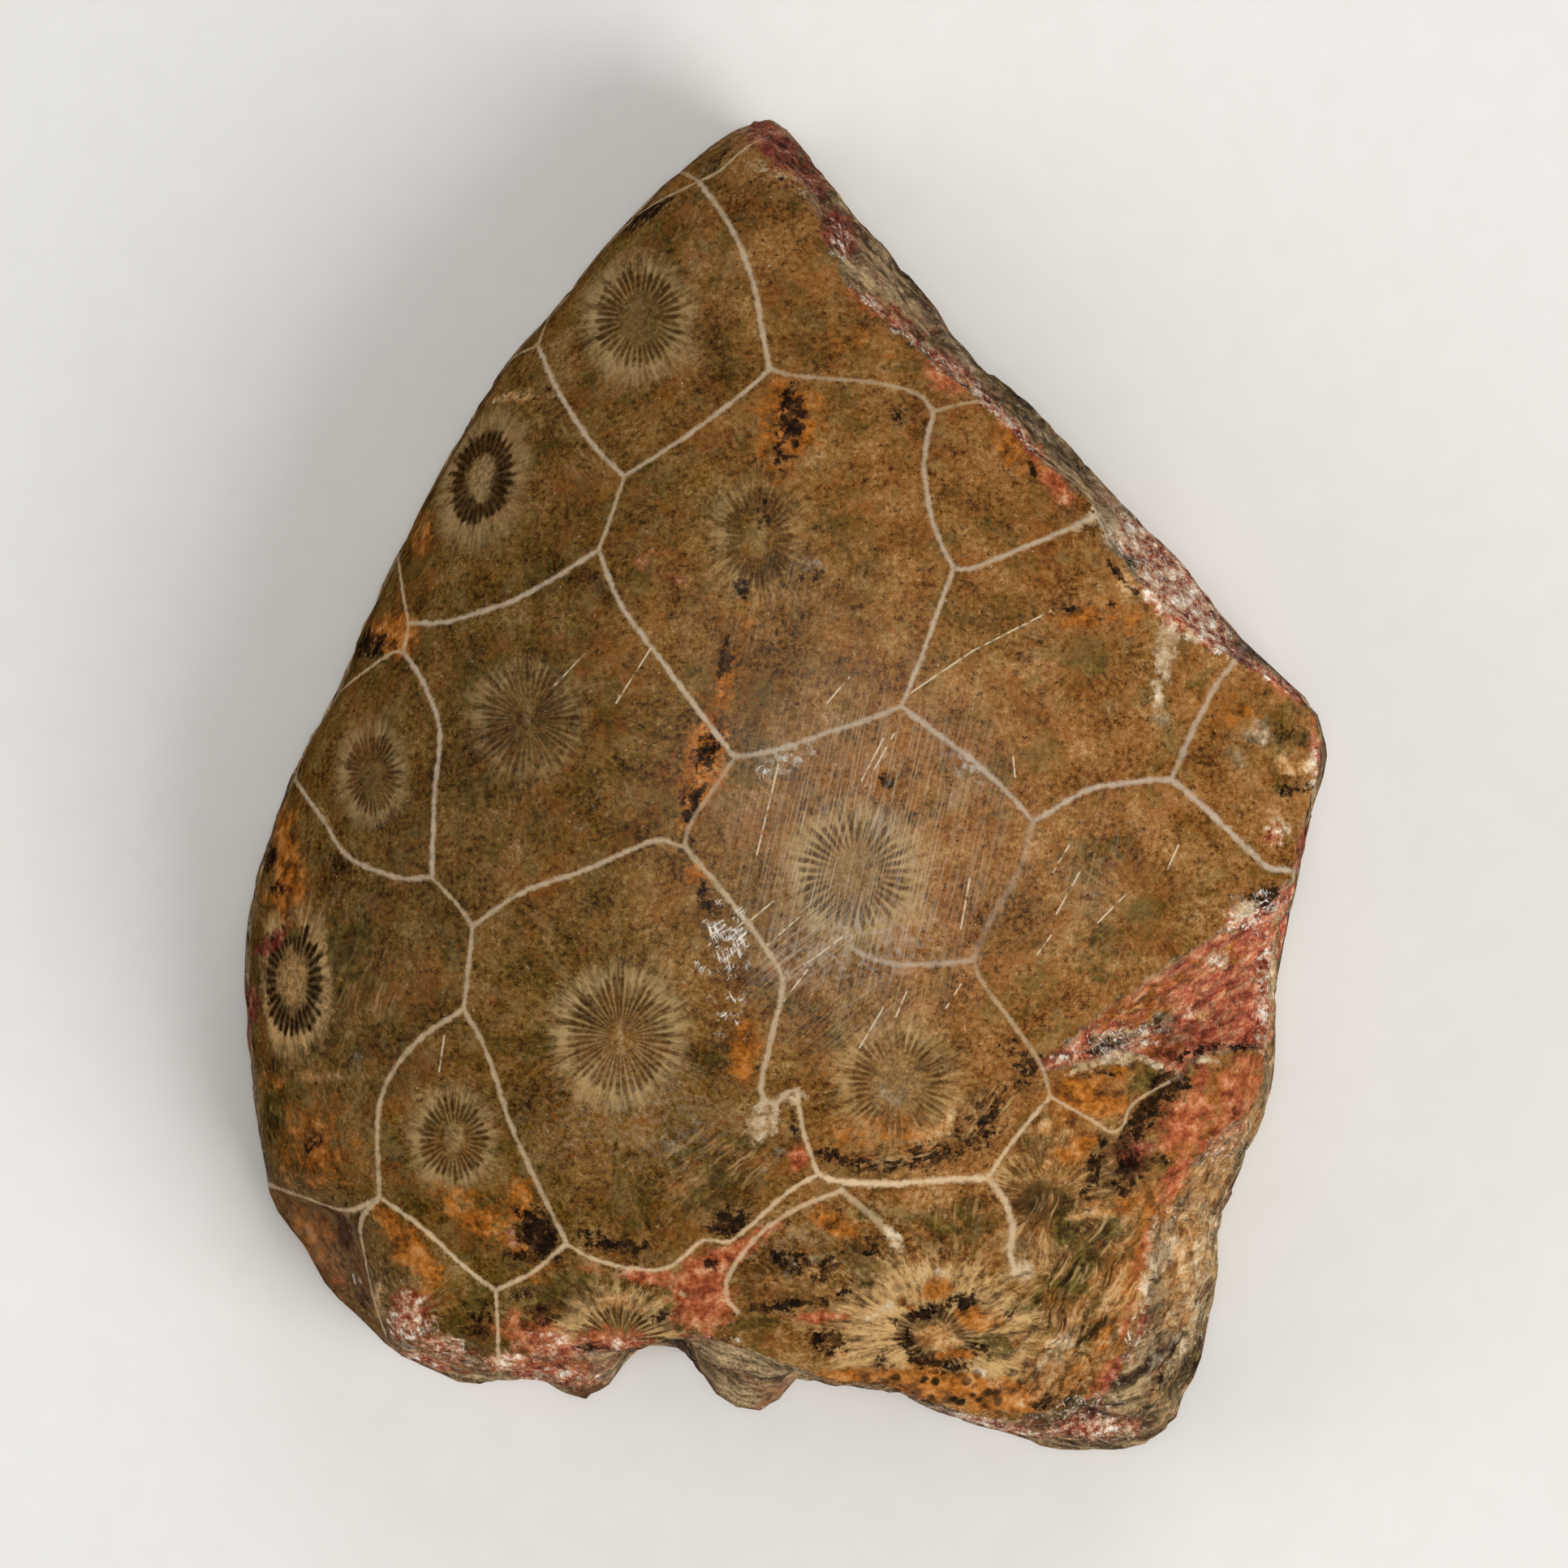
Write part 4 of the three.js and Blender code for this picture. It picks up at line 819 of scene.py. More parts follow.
# Hexagonal coral limestone, cut and polished: a fine-grained brown stone with a soft gloss. The eye gets
# fine light and dark grains, radial septa round each cup, thin pale walls between the cells, and rusty,
# black and cream stains; where it is broken it is rough, reddish and glints with crystal faces.
def fossil_limestone():
    material, tree = new_material("polished fossil limestone")
    at = add(tree, "TexCoord", out="Object")
    place = add(tree, "VectorMath", {0: at, "Scale": 1 / MM}, operation="SCALE")
    x = add(tree, "SeparateXYZ", {0: place})

    # Ground colour: olive brown on the left, warmer and lighter towards the right, in clouds up to 3 mm
    # across and grains down to 0.1 mm
    drift = grain(tree, place, 9.0)
    east = add(tree, "MapRange", {0: x, 1: -16.0, 2: 12.0, 3: -0.25, 4: 0.75})
    warmth = add(tree, "Math", {0: drift, 1: 0.5, 2: east}, operation="MULTIPLY_ADD", use_clamp=True)
    clouds = add(tree, "TexNoise", {"Vector": place, "Scale": 1 / 2.8, "Detail": 5.0, "Roughness": 0.6})
    grains = add(tree, "TexNoise", {"Vector": place, "Scale": 1 / 0.32, "Detail": 4.0, "Roughness": 0.85})
    body = add(tree, "Mix", {0: 0.62, 2: clouds, 3: grains}, data_type="FLOAT")
    body = add(tree, "MapRange", {0: body, 1: 0.37, 2: 0.63})
    olive_side = mottled(tree, body, ("#140b00", "#3f2806", "#624410", "#775623", "#94774a"))
    warm_side = mottled(tree, body, ("#341904", "#6b4012", "#8b5b29", "#9f6f3c", "#ba9262"))
    colour = add(tree, "Mix", {0: warmth, 6: olive_side, 7: warm_side}, out=2, data_type="RGBA")
    for size, detail, low, high, tone, strength in (
        (3.2, 4, 0.50, 0.66, "#8c4f1a", 0.38), (2.6, 4, 0.50, 0.66, "#48400e", 0.50),
        (1.9, 4, 0.54, 0.68, "#8a7444", 0.35), (0.60, 3, 0.588, 0.675, "#261503", 0.65),
        (0.42, 2, 0.627, 0.703, "#8c4414", 0.50), (0.30, 2, 0.639, 0.703, "#280f02", 0.80),
        (0.24, 2, 0.703, 0.753, "#e0c8a4", 0.60),
    ):
        shift = add(tree, "VectorMath", {0: place, 1: (size * 71, size * 37, size * 53)}, operation="ADD")
        speck = grain(tree, shift, size, detail, low, high, strength, Roughness=0.7)
        colour = add(tree, "Mix", {0: speck, 6: colour, 7: linear(tone)}, out=2, data_type="RGBA")

    # The cup's own round grid: distance from its middle, with the dark ring's edge at 1, and direction
    cup_x, cup_y, septa_count = three_parts(tree, "cup")
    ring_dark, septa_plain, fringe_pale = three_parts(tree, "cup_ring")
    cup_warm, middle_width, middle_pale = three_parts(tree, "cup_middle")
    fibre_plain, fibre_reach, narrower = three_parts(tree, "cup_fibres")
    flat_cup = add(tree, "CombineXYZ", {0: cup_x, 1: cup_y})
    radius = add(tree, "VectorMath", {0: flat_cup}, out="Value", operation="LENGTH")
    heading = add(tree, "VectorMath", {0: flat_cup}, operation="NORMALIZE")
    heading = add(tree, "VectorMath", {0: heading, "Scale": 7.5}, operation="SCALE")
    outward = add(tree, "Math", {0: radius, 1: 1.1}, operation="MULTIPLY")
    lift = add(tree, "CombineXYZ", {2: outward})
    spoke_place = add(tree, "VectorMath", {0: heading, 1: lift}, operation="ADD")
    spokes = add(tree, "TexNoise", {"Vector": spoke_place, "Scale": 1.0, "Detail": 5.0, "Roughness": 0.8})
    spokes = add(tree, "MapRange", {0: spokes, 1: 0.34, 2: 0.66})
    gritty = add(tree, "Math", {0: body, 1: 0.2}, operation="MULTIPLY")
    spokes = add(tree, "Math", {0: spokes, 1: 0.8, 2: gritty}, operation="MULTIPLY_ADD")

    # Fibres of the septa, which run on outwards over the cell
    near = add(tree, "MapRange", {0: radius, 1: 0.3, 2: 1.0})
    fade_start = add(tree, "Math", {0: fibre_reach, 1: 0.6}, operation="MULTIPLY")
    far = add(
        tree, "MapRange", {0: radius, 1: fade_start, 2: fibre_reach, 3: 1.0, 4: 0.25},
        interpolation_type="SMOOTHSTEP",
    )
    fibre = add(tree, "Math", {0: near, 1: far}, operation="MULTIPLY")
    fibre = add(tree, "Math", {0: fibre, 1: fibre_plain}, operation="MULTIPLY")
    fibre_tone = add(
        tree, "Mix", {0: cup_warm, 6: linear("#9a8052"), 7: linear("#dcb880")}, out=2, data_type="RGBA"
    )
    for low, high, tone, strength in ((0.52, 0.75, fibre_tone, 0.90), (0.48, 0.25, linear("#241404"), 0.90)):
        spoke = add(tree, "MapRange", {0: spokes, 1: low, 2: high})
        spoke = add(tree, "Math", {0: fibre, 1: spoke}, operation="MULTIPLY")
        spoke = add(tree, "Math", {0: spoke, 1: strength}, operation="MULTIPLY")
        colour = add(tree, "Mix", {0: spoke, 6: colour, 7: tone}, out=2, data_type="RGBA")

    # The ring: dark wedges with round outer ends between pale septa, wider outwards
    uneven = grain(tree, place, 0.9, 4.0, Roughness=0.65)
    angle = add(tree, "Math", {0: cup_y, 1: cup_x}, operation="ARCTAN2")
    swerve = add(tree, "Math", {0: uneven, 1: 0.8}, operation="MULTIPLY")
    phase = add(tree, "Math", {0: angle, 1: septa_count, 2: swerve}, operation="MULTIPLY_ADD")
    wave = add(tree, "Math", {0: phase}, operation="SINE")
    reach = add(tree, "Math", {0: uneven, 1: 0.22, 2: radius}, operation="MULTIPLY_ADD")
    rounded = add(tree, "Math", {0: wave, 1: -0.05, 2: reach}, operation="MULTIPLY_ADD")
    wedge_edge = add(tree, "MapRange", {0: radius, 1: 0.35, 2: 0.95, 3: 0.25, 4: -0.30})
    wedge = add(tree, "Math", {0: wave, 1: wedge_edge}, operation="SUBTRACT")
    wedge = add(tree, "MapRange", {0: wedge, 1: -0.45, 2: 0.45}, interpolation_type="SMOOTHSTEP")
    past_middle = add(tree, "Math", {0: reach, 1: middle_width}, operation="SUBTRACT")
    ring_start = add(tree, "MapRange", {0: past_middle, 1: 0.0, 2: 0.26}, interpolation_type="SMOOTHSTEP")
    ring_end = add(
        tree, "MapRange", {0: rounded, 1: 0.98, 2: 1.16, 3: 1.0, 4: 0.0}, interpolation_type="SMOOTHSTEP"
    )
    ring = add(tree, "Math", {0: ring_start, 1: ring_end}, operation="MULTIPLY")
    ring = add(tree, "Math", {0: ring, 1: ring_dark}, operation="MULTIPLY")
    gap = add(tree, "Math", {0: 1.0, 1: wedge}, operation="SUBTRACT")
    gap = add(tree, "Math", {0: gap, 1: septa_plain}, operation="MULTIPLY")
    wedge_dark = add(tree, "Math", {0: 1.0, 1: gap}, operation="SUBTRACT")
    wedges = add(tree, "Math", {0: ring, 1: wedge_dark}, operation="MULTIPLY")
    wedge_grain = add(tree, "MapRange", {0: grains, 1: 0.40, 2: 0.62, 3: 1.0, 4: 0.75})
    wedges = add(tree, "Math", {0: wedges, 1: wedge_grain}, operation="MULTIPLY")

    # The pale fringe where the septa widen and end, brightest at the ring's outer edge
    fringe_in = add(tree, "MapRange", {0: reach, 1: 0.60, 2: 1.10}, interpolation_type="SMOOTHSTEP")
    fringe_end = add(tree, "Math", {0: fibre_reach, 1: 0.90}, operation="MULTIPLY")
    fringe_out = add(
        tree, "MapRange", {0: reach, 1: fade_start, 2: fringe_end, 3: 1.0, 4: 0.0},
        interpolation_type="SMOOTHSTEP",
    )
    septum = add(tree, "Math", {0: wedge, 1: ring_start}, operation="MULTIPLY")
    septum = add(tree, "Math", {0: septum, 1: ring_end}, operation="MULTIPLY")
    septum = add(tree, "MapRange", {0: septum, 3: 1.0, 4: 0.1})
    spoke_share = add(tree, "MapRange", {0: spokes, 1: 0.2, 2: 0.7, 3: 0.15, 4: 1.0})
    fringe = add(tree, "Math", {0: fringe_in, 1: fringe_out}, operation="MULTIPLY")
    septa_inside = add(tree, "Math", {0: ring_start, 1: 0.45}, operation="MULTIPLY")
    septa_inside = add(tree, "Math", {0: septa_inside, 1: ring_end}, operation="MULTIPLY")
    fringe = add(tree, "Math", {0: fringe, 1: septa_inside}, operation="MAXIMUM")
    for share in (septum, spoke_share, fringe_pale):
        fringe = add(tree, "Math", {0: fringe, 1: share}, operation="MULTIPLY")
    fringe_tone = add(
        tree, "Mix", {0: cup_warm, 6: linear("#a48a5e"), 7: linear("#c8a068")}, out=2, data_type="RGBA"
    )
    colour = add(tree, "Mix", {0: fringe, 6: colour, 7: fringe_tone}, out=2, data_type="RGBA")
    wedge_tone = add(
        tree, "Mix", {0: ring_dark, 6: linear("#4e300a"), 7: linear("#1e0f02")}, out=2, data_type="RGBA"
    )
    colour = add(tree, "Mix", {0: wedges, 6: colour, 7: wedge_tone}, out=2, data_type="RGBA")

    # The middle of the cup: greenish grey to pale beige, mottled, often drawn out to a spindle
    spindle = add(tree, "Math", {0: narrower, 1: cup_x}, operation="MULTIPLY")
    spindle = add(tree, "CombineXYZ", {0: spindle})
    spindle = add(tree, "VectorMath", {0: flat_cup, 1: spindle}, operation="ADD")
    from_middle = add(tree, "VectorMath", {0: spindle}, out="Value", operation="LENGTH")
    from_middle = add(tree, "Math", {0: uneven, 1: 0.20, 2: from_middle}, operation="MULTIPLY_ADD")
    into_middle = add(tree, "Math", {0: middle_width, 1: from_middle}, operation="SUBTRACT")
    middle = add(tree, "MapRange", {0: into_middle, 1: -0.24, 2: 0.08}, interpolation_type="SMOOTHSTEP")
    middle_share = add(tree, "MapRange", {0: body, 1: 0.1, 2: 0.9, 3: 0.40, 4: 0.95})
    middle = add(tree, "Math", {0: middle, 1: middle_share}, operation="MULTIPLY")
    pale_middle = add(
        tree, "Mix", {0: cup_warm, 6: linear("#ac9066"), 7: linear("#c0935a")}, out=2, data_type="RGBA"
    )
    middle_tone = add(
        tree, "Mix", {0: middle_pale, 6: linear("#675024"), 7: pale_middle}, out=2, data_type="RGBA"
    )
    middle_mottle = add(tree, "MapRange", {0: grains, 1: 0.35, 2: 0.65, 3: 0.55, 4: 1.35})
    middle_tone = add(tree, "VectorMath", {0: middle_tone, "Scale": middle_mottle}, operation="SCALE")
    colour = add(tree, "Mix", {0: middle, 6: colour, 7: middle_tone}, out=2, data_type="RGBA")

    # Broken rock: tan to rusty, granular, in slanting beds; brick red with paler crystals in the chip
    polish, chip, ground = three_parts(tree, "finish")
    bed_height = add(
        tree, "VectorMath", {0: place, 1: (0.35, 0.25, 0.9)}, out="Value", operation="DOT_PRODUCT"
    )
    bed_place = add(tree, "CombineXYZ", {2: bed_height})
    loose = add(tree, "VectorMath", {0: place, "Scale": 0.18}, operation="SCALE")
    bed_place = add(tree, "VectorMath", {0: bed_place, 1: loose}, operation="ADD")
    beds = grain(tree, bed_place, 0.9, 3.0, 0.326, 0.674, Roughness=0.7)
    rock = mottled(tree, beds, ("#3a2a19", "#604a32", "#7c6542", "#967c56", "#b99c72"))
    for size, detail, low, high, tone, strength in (
        (5.0, 4, 0.50, 0.627, "#83492f", 0.6), (3.1, 4, 0.553, 0.67, "#6b3630", 0.5),
        (0.6, 2, 0.554, 0.715, "#2c2013", 0.7), (0.4, 2, 0.581, 0.715, "#c2ab8a", 0.6),
    ):
        patch = grain(tree, place, size, detail, low, high, strength, Roughness=0.7)
        rock = add(tree, "Mix", {0: patch, 6: rock, 7: linear(tone)}, out=2, data_type="RGBA")
    brick = drawn_out(tree, place, 32, 1.2, 0.8, 4.0, Roughness=0.75)
    brick = add(tree, "MapRange", {0: brick, 1: 0.288, 2: 0.689}, interpolation_type="SMOOTHSTEP")
    red_tone = mottled(tree, brick, ("#5c2418", "#98402c", "#ba6044", "#cc8058", "#e2b08c"))
    red = add(tree, "MapRange", {0: chip, 1: -0.3, 2: 0.3, 4: 0.92}, interpolation_type="SMOOTHSTEP")
    rock = add(tree, "Mix", {0: red, 6: rock, 7: red_tone}, out=2, data_type="RGBA")

    # Stains, with ragged edges and the grain of the stone showing through
    rust, manganese, cream = three_parts(tree, "stains_0")
    salmon, olive, burgundy = three_parts(tree, "stains_1")
    grey, gold, painted_glints = three_parts(tree, "stains_2")
    fine_scratch, slant_scratch, painted_sheen = three_parts(tree, "stains_3")
    crust_and_painted_light, spots, umber = three_parts(tree, "stains_4")
    flecks = grain(tree, place, 1.1, 4.0, 0.274, 0.726, Roughness=0.78)
    upright = add(tree, "VectorMath", {0: place, 1: (1.0, 1.0, 0.35)}, operation="MULTIPLY")
    crust_flecks = grain(tree, upright, 0.7, 3.0, 0.303, 0.697, Roughness=0.72)
    for weight, size, most, torn, soft, tones in (  # torn: how ragged the edge is; soft: how wide it is
        (umber, 1.6, 0.80, 2.02, 0.6, ("#0e0802", "#241505", "#3a260b", "#503612", "#705424")),
        (olive, 1.3, 0.88, 2.18, 0.5, ("#121003", "#2a2207", "#463a10", "#62531f", "#8a7a44")),
        (rust, 1.1, 0.90, 2.02, 0.5, ("#2e1602", "#6c3a08", "#9c5810", "#b8702a", "#cc945a")),
        (gold, 1.0, 0.88, 2.18, 0.5, ("#5c3814", "#94602e", "#b98850", "#cea472", "#e6cca0")),
        (salmon, 1.0, 0.90, 2.02, 0.5, ("#4a180a", "#80381c", "#a65430", "#be744a", "#dcaa84")),
        (burgundy, 0.9, 0.92, 2.35, 0.5, ("#220603", "#50190f", "#78301f", "#96503a", "#c48e72")),
        (grey, 0.9, 0.80, 2.35, 0.6, ("#2c2416", "#584a34", "#827258", "#a4947a", "#cabeaa")),
        # The crust's palest tones are partly painted light on the broken upper right crest
        (crust_and_painted_light, 0.5, 0.94, 2.18, 0.4, ("#54180c", "#9a4630", "#bc8464", "#d8b496", "#f8ecde")),
        (cream, 0.6, 0.90, 2.18, 0.5, ("#7e603a", "#ac8e66", "#c2a884", "#d6c2a0", "#eee2cc")),
        (manganese, 0.5, 0.96, 3.87, 0.5, ("#030100", "#0e0502", "#1e0e04", "#38200a", "#5c3c1a")),
    ):
        shift = add(tree, "VectorMath", {0: place, 1: (size * 31, size * 57, size * 13)}, operation="ADD")
        ragged = add(tree, "TexNoise", {"Vector": shift, "Scale": 1 / size, "Detail": 4.0, "Roughness": 0.76})
        full = add(tree, "Math", {0: ragged, 1: torn, 2: weight}, operation="MULTIPLY_ADD")
        edge = 0.3 + 0.5 * torn
        full = add(
            tree, "MapRange", {0: full, 1: edge, 2: edge + soft, 4: most}, interpolation_type="SMOOTHSTEP"
        )
        present = add(tree, "MapRange", {0: weight, 1: 0.02, 2: 0.25})
        full = add(tree, "Math", {0: full, 1: present}, operation="MULTIPLY")
        stain = mottled(tree, crust_flecks if weight is crust_and_painted_light else flecks, tones)
        colour = add(tree, "Mix", {0: full, 6: colour, 7: stain}, out=2, data_type="RGBA")
        rock = add(tree, "Mix", {0: full, 6: rock, 7: stain}, out=2, data_type="RGBA")

    # Dark spots about 0.4 mm wide and 0.9 mm apart
    shaky = add(tree, "TexNoise", {"Vector": place, "Scale": 1 / 0.5, "Detail": 1.0}, out="Color")
    spot_place = add(tree, "VectorMath", {0: shaky, "Scale": 0.4}, operation="SCALE")
    spot_place = add(tree, "VectorMath", {0: spot_place, 1: place}, operation="ADD")
    spot = add(tree, "TexVoronoi", {"Vector": spot_place, "Scale": 1 / 0.9}, out="Distance")
    spot = add(tree, "MapRange", {0: spot, 1: 0.46, 2: 0.26}, interpolation_type="SMOOTHSTEP")
    spot = add(tree, "Math", {0: spot, 1: spots}, operation="MULTIPLY")
    colour = add(tree, "Mix", {0: spot, 6: colour, 7: linear("#241a08")}, out=2, data_type="RGBA")
    rock = add(tree, "Mix", {0: spot, 6: rock, 7: linear("#241a08")}, out=2, data_type="RGBA")

    # Streaks that flow through the stone: tan, dark olive and rusty
    across, along, streak_plain = three_parts(tree, "streaks")
    slow_along = add(tree, "Math", {0: along, 1: 0.16}, operation="MULTIPLY")
    meander = grain(tree, place, 3.0)
    across = add(tree, "Math", {0: meander, 1: 0.5, 2: across}, operation="MULTIPLY_ADD")
    streak_place = add(tree, "CombineXYZ", {0: across, 1: slow_along})
    for size, low, high, tone, most in (
        (1.1, 0.546, 0.686, "#a85a26", 0.60), (0.55, 0.523, 0.663, "#c6a06a", 0.80),
        (0.5, 0.488, 0.361, "#231504", 0.90),
    ):
        shift = add(tree, "VectorMath", {0: streak_place, 1: (size * 91, size * 23, 0)}, operation="ADD")
        streak = add(tree, "TexNoise", {"Vector": shift, "Scale": 1 / size, "Detail": 3.0, "Roughness": 0.7})
        streak = add(tree, "MapRange", {0: streak, 1: low, 2: high, 4: most}, interpolation_type="SMOOTHSTEP")
        streak = add(tree, "Math", {0: streak, 1: streak_plain}, operation="MULTIPLY")
        colour = add(tree, "Mix", {0: streak, 6: colour, 7: linear(tone)}, out=2, data_type="RGBA")
        rock = add(tree, "Mix", {0: streak, 6: rock, 7: linear(tone)}, out=2, data_type="RGBA")

    # Walls between the cells: pale lines about 0.45 mm wide that waver and break up a little
    wall_tone, wall_plain, back = three_parts(tree, "wall_look")
    waver = grain(tree, place, 0.5, 3.0, 0.152, 0.848, Roughness=0.7)
    line = nearest_of_three(tree, "wall")
    line = add(tree, "Math", {0: waver, 1: 0.9, 2: line}, operation="MULTIPLY_ADD")
    wall = add(tree, "MapRange", {0: line, 1: 1.50, 2: 0.55}, interpolation_type="SMOOTHSTEP")
    broken = grain(tree, place, 0.7, 3.0, 0.226, 0.61, 0.38, Roughness=0.7)
    shown = add(tree, "Math", {0: broken, 1: 0.62}, operation="ADD")
    wall = add(tree, "Math", {0: wall, 1: shown}, operation="MULTIPLY")
    wall = add(tree, "Math", {0: wall, 1: wall_plain}, operation="MULTIPLY")
    wall_colour = mottled(tree, wall_tone, ("#bdac98", "#b89f7c", "#dabd94"))
    colour = add(tree, "Mix", {0: wall, 6: colour, 7: wall_colour}, out=2, data_type="RGBA")

    # Scratches in the polish, painted pale, partly their own frosted white and partly painted glints where
    # they catch the light: long ones, and fields of fine ones in two directions
    long_scratch_glint = nearest_of_three(tree, "scratch")
    long_scratch_glint = add(
        tree, "MapRange", {0: long_scratch_glint, 1: 1.2, 2: 0.3, 4: 0.85}, interpolation_type="SMOOTHSTEP"
    )
    faint = grain(tree, place, 0.6, 2.0, 0.339, 0.554)
    long_scratch_glint = add(tree, "Math", {0: long_scratch_glint, 1: faint}, operation="MULTIPLY")
    colour = add(tree, "Mix", {0: long_scratch_glint, 6: colour, 7: linear("#d6c5a4")}, out=2, data_type="RGBA")
    for weight, direction in ((fine_scratch, 77), (slant_scratch, 40)):
        lines = drawn_out(tree, place, direction, 2.6, 0.11, 3.0, Distortion=0.3)
        lines = add(tree, "MapRange", {0: lines, 1: 0.48, 2: 0.74, 4: 0.55})
        lines = add(tree, "Math", {0: lines, 1: weight}, operation="MULTIPLY")
        colour = add(tree, "Mix", {0: lines, 6: colour, 7: linear("#c9b696")}, out=2, data_type="RGBA")
    # Painted sheen: a pale grey-white veil over parts of the polished face, standing in for the lamp's sheen
    painted_sheen_veil = grain(tree, place, 0.35, 2.0, 0.445, 0.666)
    painted_sheen_veil = add(tree, "Math", {0: painted_sheen_veil, 1: painted_sheen}, operation="MULTIPLY")
    colour = add(tree, "Mix", {0: painted_sheen_veil, 6: colour, 7: linear("#b9b0a4")}, out=2, data_type="RGBA")

    # Painted glints: crystal faces and crossed scuffs painted near-white where they would catch the light
    glint_where = grain(tree, place, 0.9, 3.0, 0.293, 0.707)
    glint_where = add(tree, "Math", {0: glint_where, 1: painted_glints}, operation="MULTIPLY")
    glint_limit = add(tree, "MapRange", {0: glint_where, 1: 0.0, 2: 0.65, 3: 0.75, 4: 0.51})
    scuff_glints = [drawn_out(tree, place, direction, 0.8, 0.12, 3.0, Roughness=0.7) for direction in (40, 112)]
    glint = add(tree, "Math", {0: scuff_glints[0], 1: scuff_glints[1]}, operation="MAXIMUM")
    glint = add(tree, "Math", {0: glint, 1: glint_limit}, operation="SUBTRACT")
    glint = add(tree, "MapRange", {0: glint, 1: 0.0, 2: 0.12, 4: 0.85})
    polished_colour_and_glints = add(tree, "Mix", {0: glint, 6: colour, 7: linear("#ece6dc")}, out=2, data_type="RGBA")

    # Crystals in the broken rock, each a little lighter or darker, partly their own tone and partly painted
    # shading of their faces, and walls that show faintly
    crystals = add(tree, "TexVoronoi", {"Vector": place, "Scale": 1 / 0.42}, out="Color")
    crystal_tone_and_facet_shade = add(tree, "SeparateXYZ", {0: crystals})
    crystal_tone_and_facet_shade = add(tree, "MapRange", {0: crystal_tone_and_facet_shade, 3: 0.68, 4: 1.22})
    rock = add(tree, "VectorMath", {0: rock, "Scale": crystal_tone_and_facet_shade}, operation="SCALE")
    rock_wall = add(tree, "Math", {0: wall, 1: 0.35}, operation="MULTIPLY")
    rock = add(tree, "Mix", {0: rock_wall, 6: rock, 7: wall_colour}, out=2, data_type="RGBA")
    # Painted glints on the broken rock: near-white specks where crystal faces would catch the light
    painted_spark_weight = add(tree, "Math", {0: painted_glints, 1: 0.08}, operation="ADD")
    painted_sparks = grain(tree, place, 0.25, 2.0, 0.60, 0.66)
    painted_sparks = add(tree, "Math", {0: painted_sparks, 1: painted_spark_weight}, operation="MULTIPLY", use_clamp=True)
    painted_sparks = add(tree, "Math", {0: painted_sparks, 1: glint}, operation="MAXIMUM")
    rock = add(tree, "Mix", {0: painted_sparks, 6: rock, 7: linear("#e4dacd")}, out=2, data_type="RGBA")

    # The corner that was ground off: the same markings, a little paler and redder
    ground_mottle = grain(tree, place, 0.9, 4.0)
    ground_tone = add(
        tree, "Mix", {0: ground_mottle, 6: linear("#6e3e24"), 7: linear("#a87a5c")}, out=2, data_type="RGBA"
    )
    ground_tone = add(tree, "Mix", {0: 0.20, 6: polished_colour_and_glints, 7: ground_tone}, out=2, data_type="RGBA")
    is_ground = add(tree, "MapRange", {0: ground, 1: -0.2, 2: 0.3})
    rock = add(tree, "Mix", {0: is_ground, 6: rock, 7: ground_tone}, out=2, data_type="RGBA")

    # The sawn back: the same markings, dulled and lightened by saw marks
    saw = drawn_out(tree, place, 12, 20.0, 0.4, 2.0)
    saw = add(
        tree, "MapRange", {0: saw, 1: 0.286, 2: 0.714, 3: 0.40, 4: 0.62}, interpolation_type="SMOOTHSTEP"
    )
    back_colour = add(tree, "Mix", {0: saw, 6: colour, 7: linear("#8f7c60")}, out=2, data_type="RGBA")

    # Which finish shows where; the polish ends along a ragged line
    ragged_edge = grain(tree, place, 0.8, 3.0, 0.19, 0.81)
    edge = add(tree, "Math", {0: ragged_edge, 1: 0.7, 2: polish}, operation="MULTIPLY_ADD")
    is_polished = add(tree, "MapRange", {0: edge, 1: 0.25, 2: 0.45}, interpolation_type="SMOOTHSTEP")
    chip_edge = add(tree, "Math", {0: ragged_edge, 1: 0.6, 2: chip}, operation="MULTIPLY_ADD")
    not_chip = add(tree, "MapRange", {0: chip_edge, 1: 0.25, 2: 0.0}, interpolation_type="SMOOTHSTEP")
    is_polished = add(tree, "Math", {0: is_polished, 1: not_chip}, operation="MULTIPLY")
    all_colour = add(tree, "Mix", {0: is_polished, 6: rock, 7: polished_colour_and_glints}, out=2, data_type="RGBA")
    all_colour = add(tree, "Mix", {0: back, 6: all_colour, 7: back_colour}, out=2, data_type="RGBA")

    # Gloss: soft on the polish, duller over scratches and stains, none on broken rock
    dull = grain(tree, place, 1.5, 2.0, 0.279, 0.721, 0.12)
    gloss_rough = add(tree, "Math", {0: dull, 1: 0.28}, operation="ADD")
    worn_rim = add(tree, "MapRange", {0: polish, 1: 1.8, 2: 0.2, 4: 0.40}, interpolation_type="SMOOTHSTEP")
    worn_chip = add(tree, "MapRange", {0: chip, 1: -2.8, 2: -0.5, 4: 0.40}, interpolation_type="SMOOTHSTEP")
    worn = add(tree, "Math", {0: worn_rim, 1: worn_chip}, operation="MAXIMUM")
    gloss_rough = add(tree, "Math", {0: gloss_rough, 1: worn}, operation="ADD")
    scratched = add(tree, "Math", {0: fine_scratch, 1: 0.10, 2: gloss_rough}, operation="MULTIPLY_ADD")
    scratched = add(tree, "Math", {0: manganese, 1: 0.2, 2: scratched}, operation="MULTIPLY_ADD")
    rough_rock = add(tree, "MapRange", {0: is_ground, 3: 0.85, 4: 0.5})
    roughness = add(tree, "Mix", {0: is_polished, 2: rough_rock, 3: scratched}, data_type="FLOAT")
    roughness = add(tree, "Mix", {0: back, 2: roughness, 3: 0.7}, data_type="FLOAT")

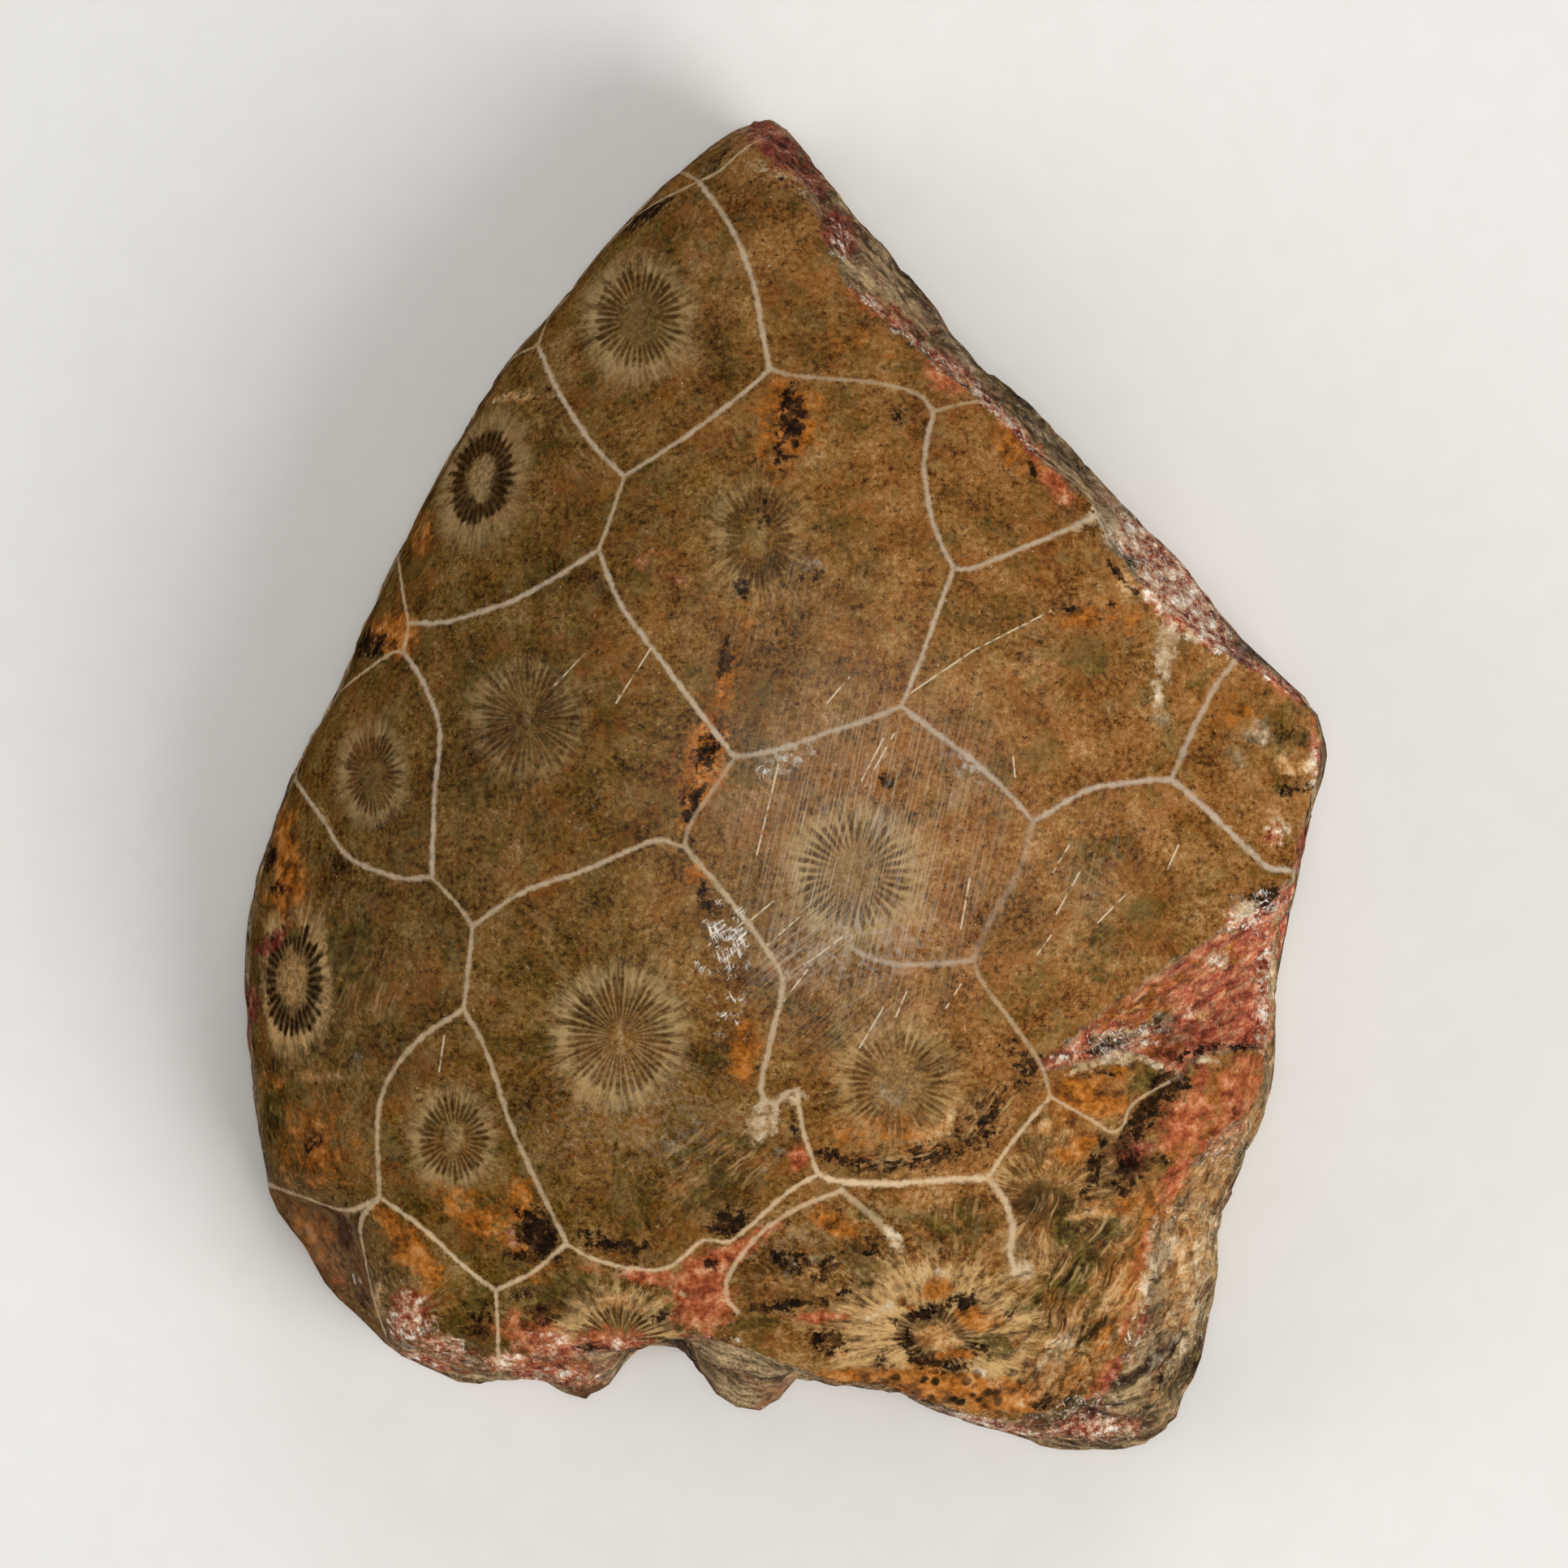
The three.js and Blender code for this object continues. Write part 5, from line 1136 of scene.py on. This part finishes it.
    # Relief too fine for the mesh, in mm: grains and splinters where the stone is broken
    splinters = grain(tree, place, 0.5, 3.0, 0.153, 0.847, 0.30, Roughness=0.65)
    crystal_height = crystals.node.outputs["Distance"]
    height = add(tree, "Math", {0: crystal_height, 1: -0.12, 2: splinters}, operation="MULTIPLY_ADD")
    smooth = add(tree, "Math", {0: is_polished, 1: is_ground}, operation="MAXIMUM")
    smooth = add(tree, "Math", {0: smooth, 1: back}, operation="MAXIMUM")
    roughened = add(tree, "Math", {0: 1.0, 1: smooth}, operation="SUBTRACT")
    bumped = add(tree, "Bump", {"Height": height, "Distance": MM, "Strength": roughened})
    return finished_material(material, tree, {
        "Base Color": all_colour, "Roughness": roughness, "Normal": bumped, "IOR": 1.5,
        "Specular IOR Level": 0.3,
    })


slice_mesh.materials.clear()
slice_mesh.materials.append(fossil_limestone())
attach(stone, "root")
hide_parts(STONE)

# The ground that the stone lies on: a plain pale board with a matt coat of paint.
BOARD_SIZE = 6.0
board_form = bmesh.new()
bmesh.ops.create_grid(board_form, x_segments=1, y_segments=1, size=BOARD_SIZE / 2)
board_mesh = bpy.data.meshes.new("board")
board_form.to_mesh(board_mesh)
board_form.free()
board = placed("board", board_mesh)


def matt_paint():
    """Matt emulsion paint on board: even, pale and without gloss."""
    material, tree = new_material("matt emulsion paint")
    at = add(tree, "TexCoord", out="Object")
    tooth = add(tree, "TexNoise", {"Vector": at, "Scale": 400.0, "Detail": 3.0})
    tone = add(tree, "Mix", {0: tooth, 6: linear("#e6e4df"), 7: linear("#eceae6")}, out=2, data_type="RGBA")
    return finished_material(material, tree, {"Base Color": tone, "Roughness": 0.9})


board_mesh.materials.append(matt_paint())
board.visible_glossy = False

# Soft studio light: a pale room, a large lamp at the lower right, two weaker ones at the left and top, and
# a small one above the camera. The side lamps are polarised, and the room and the board are kept out of
# the reflections too, so that only the lamp above shows in the polish, as a soft sheen on the crown.
WORLD_LIGHT = 0.30
LAMPS = {
    "key lamp": ((0.86, -0.65, 0.70), 1.0, 15.0),
    "fill lamp": ((-1.10, 0.10, 0.55), 1.0, 4.4),
    "back lamp": ((0.30, 1.10, 0.60), 1.0, 5.2),
    "top lamp": ((0.0, 0.0, 1.30), 0.25, 2.2),
}
POLARISED = ("key lamp", "fill lamp", "back lamp")
world = bpy.data.worlds.new("pale room")
world.use_nodes = True
world.node_tree.nodes["Background"].inputs["Color"].default_value = linear("#f2f1ee")
world.node_tree.nodes["Background"].inputs["Strength"].default_value = WORLD_LIGHT
world.cycles_visibility.glossy = False
bpy.context.scene.world = world
for name, (place, size, watts) in LAMPS.items():
    lamp_data = bpy.data.lights.new(name, "AREA")
    lamp_data.shape = "DISK"
    lamp_data.size = size
    lamp_data.energy = watts
    lamp = placed(name, lamp_data)
    lamp.location = place
    lamp.rotation_euler = (Vector((0, 0, 0.01)) - Vector(place)).to_track_quat("-Z", "Y").to_euler()
    lamp.visible_glossy = name not in POLARISED

# The camera looks straight down through a long lens, so that the stone's edge fills the frame as seen
FRAME_WIDTH = 0.0878  # how much the frame takes in at the height of the stone's widest edge
EDGE_HEIGHT = 0.011
LENS = 400.0
SENSOR = 36.0
camera_data = bpy.data.cameras.new("camera")
camera_data.lens = LENS
camera_data.sensor_width = SENSOR
camera_data.clip_end = 20.0
camera = placed("camera", camera_data)
camera.location = (0.0, 0.0, EDGE_HEIGHT + FRAME_WIDTH * LENS / SENSOR)
bpy.context.scene.camera = camera
bpy.context.scene.view_settings.view_transform = "Standard"
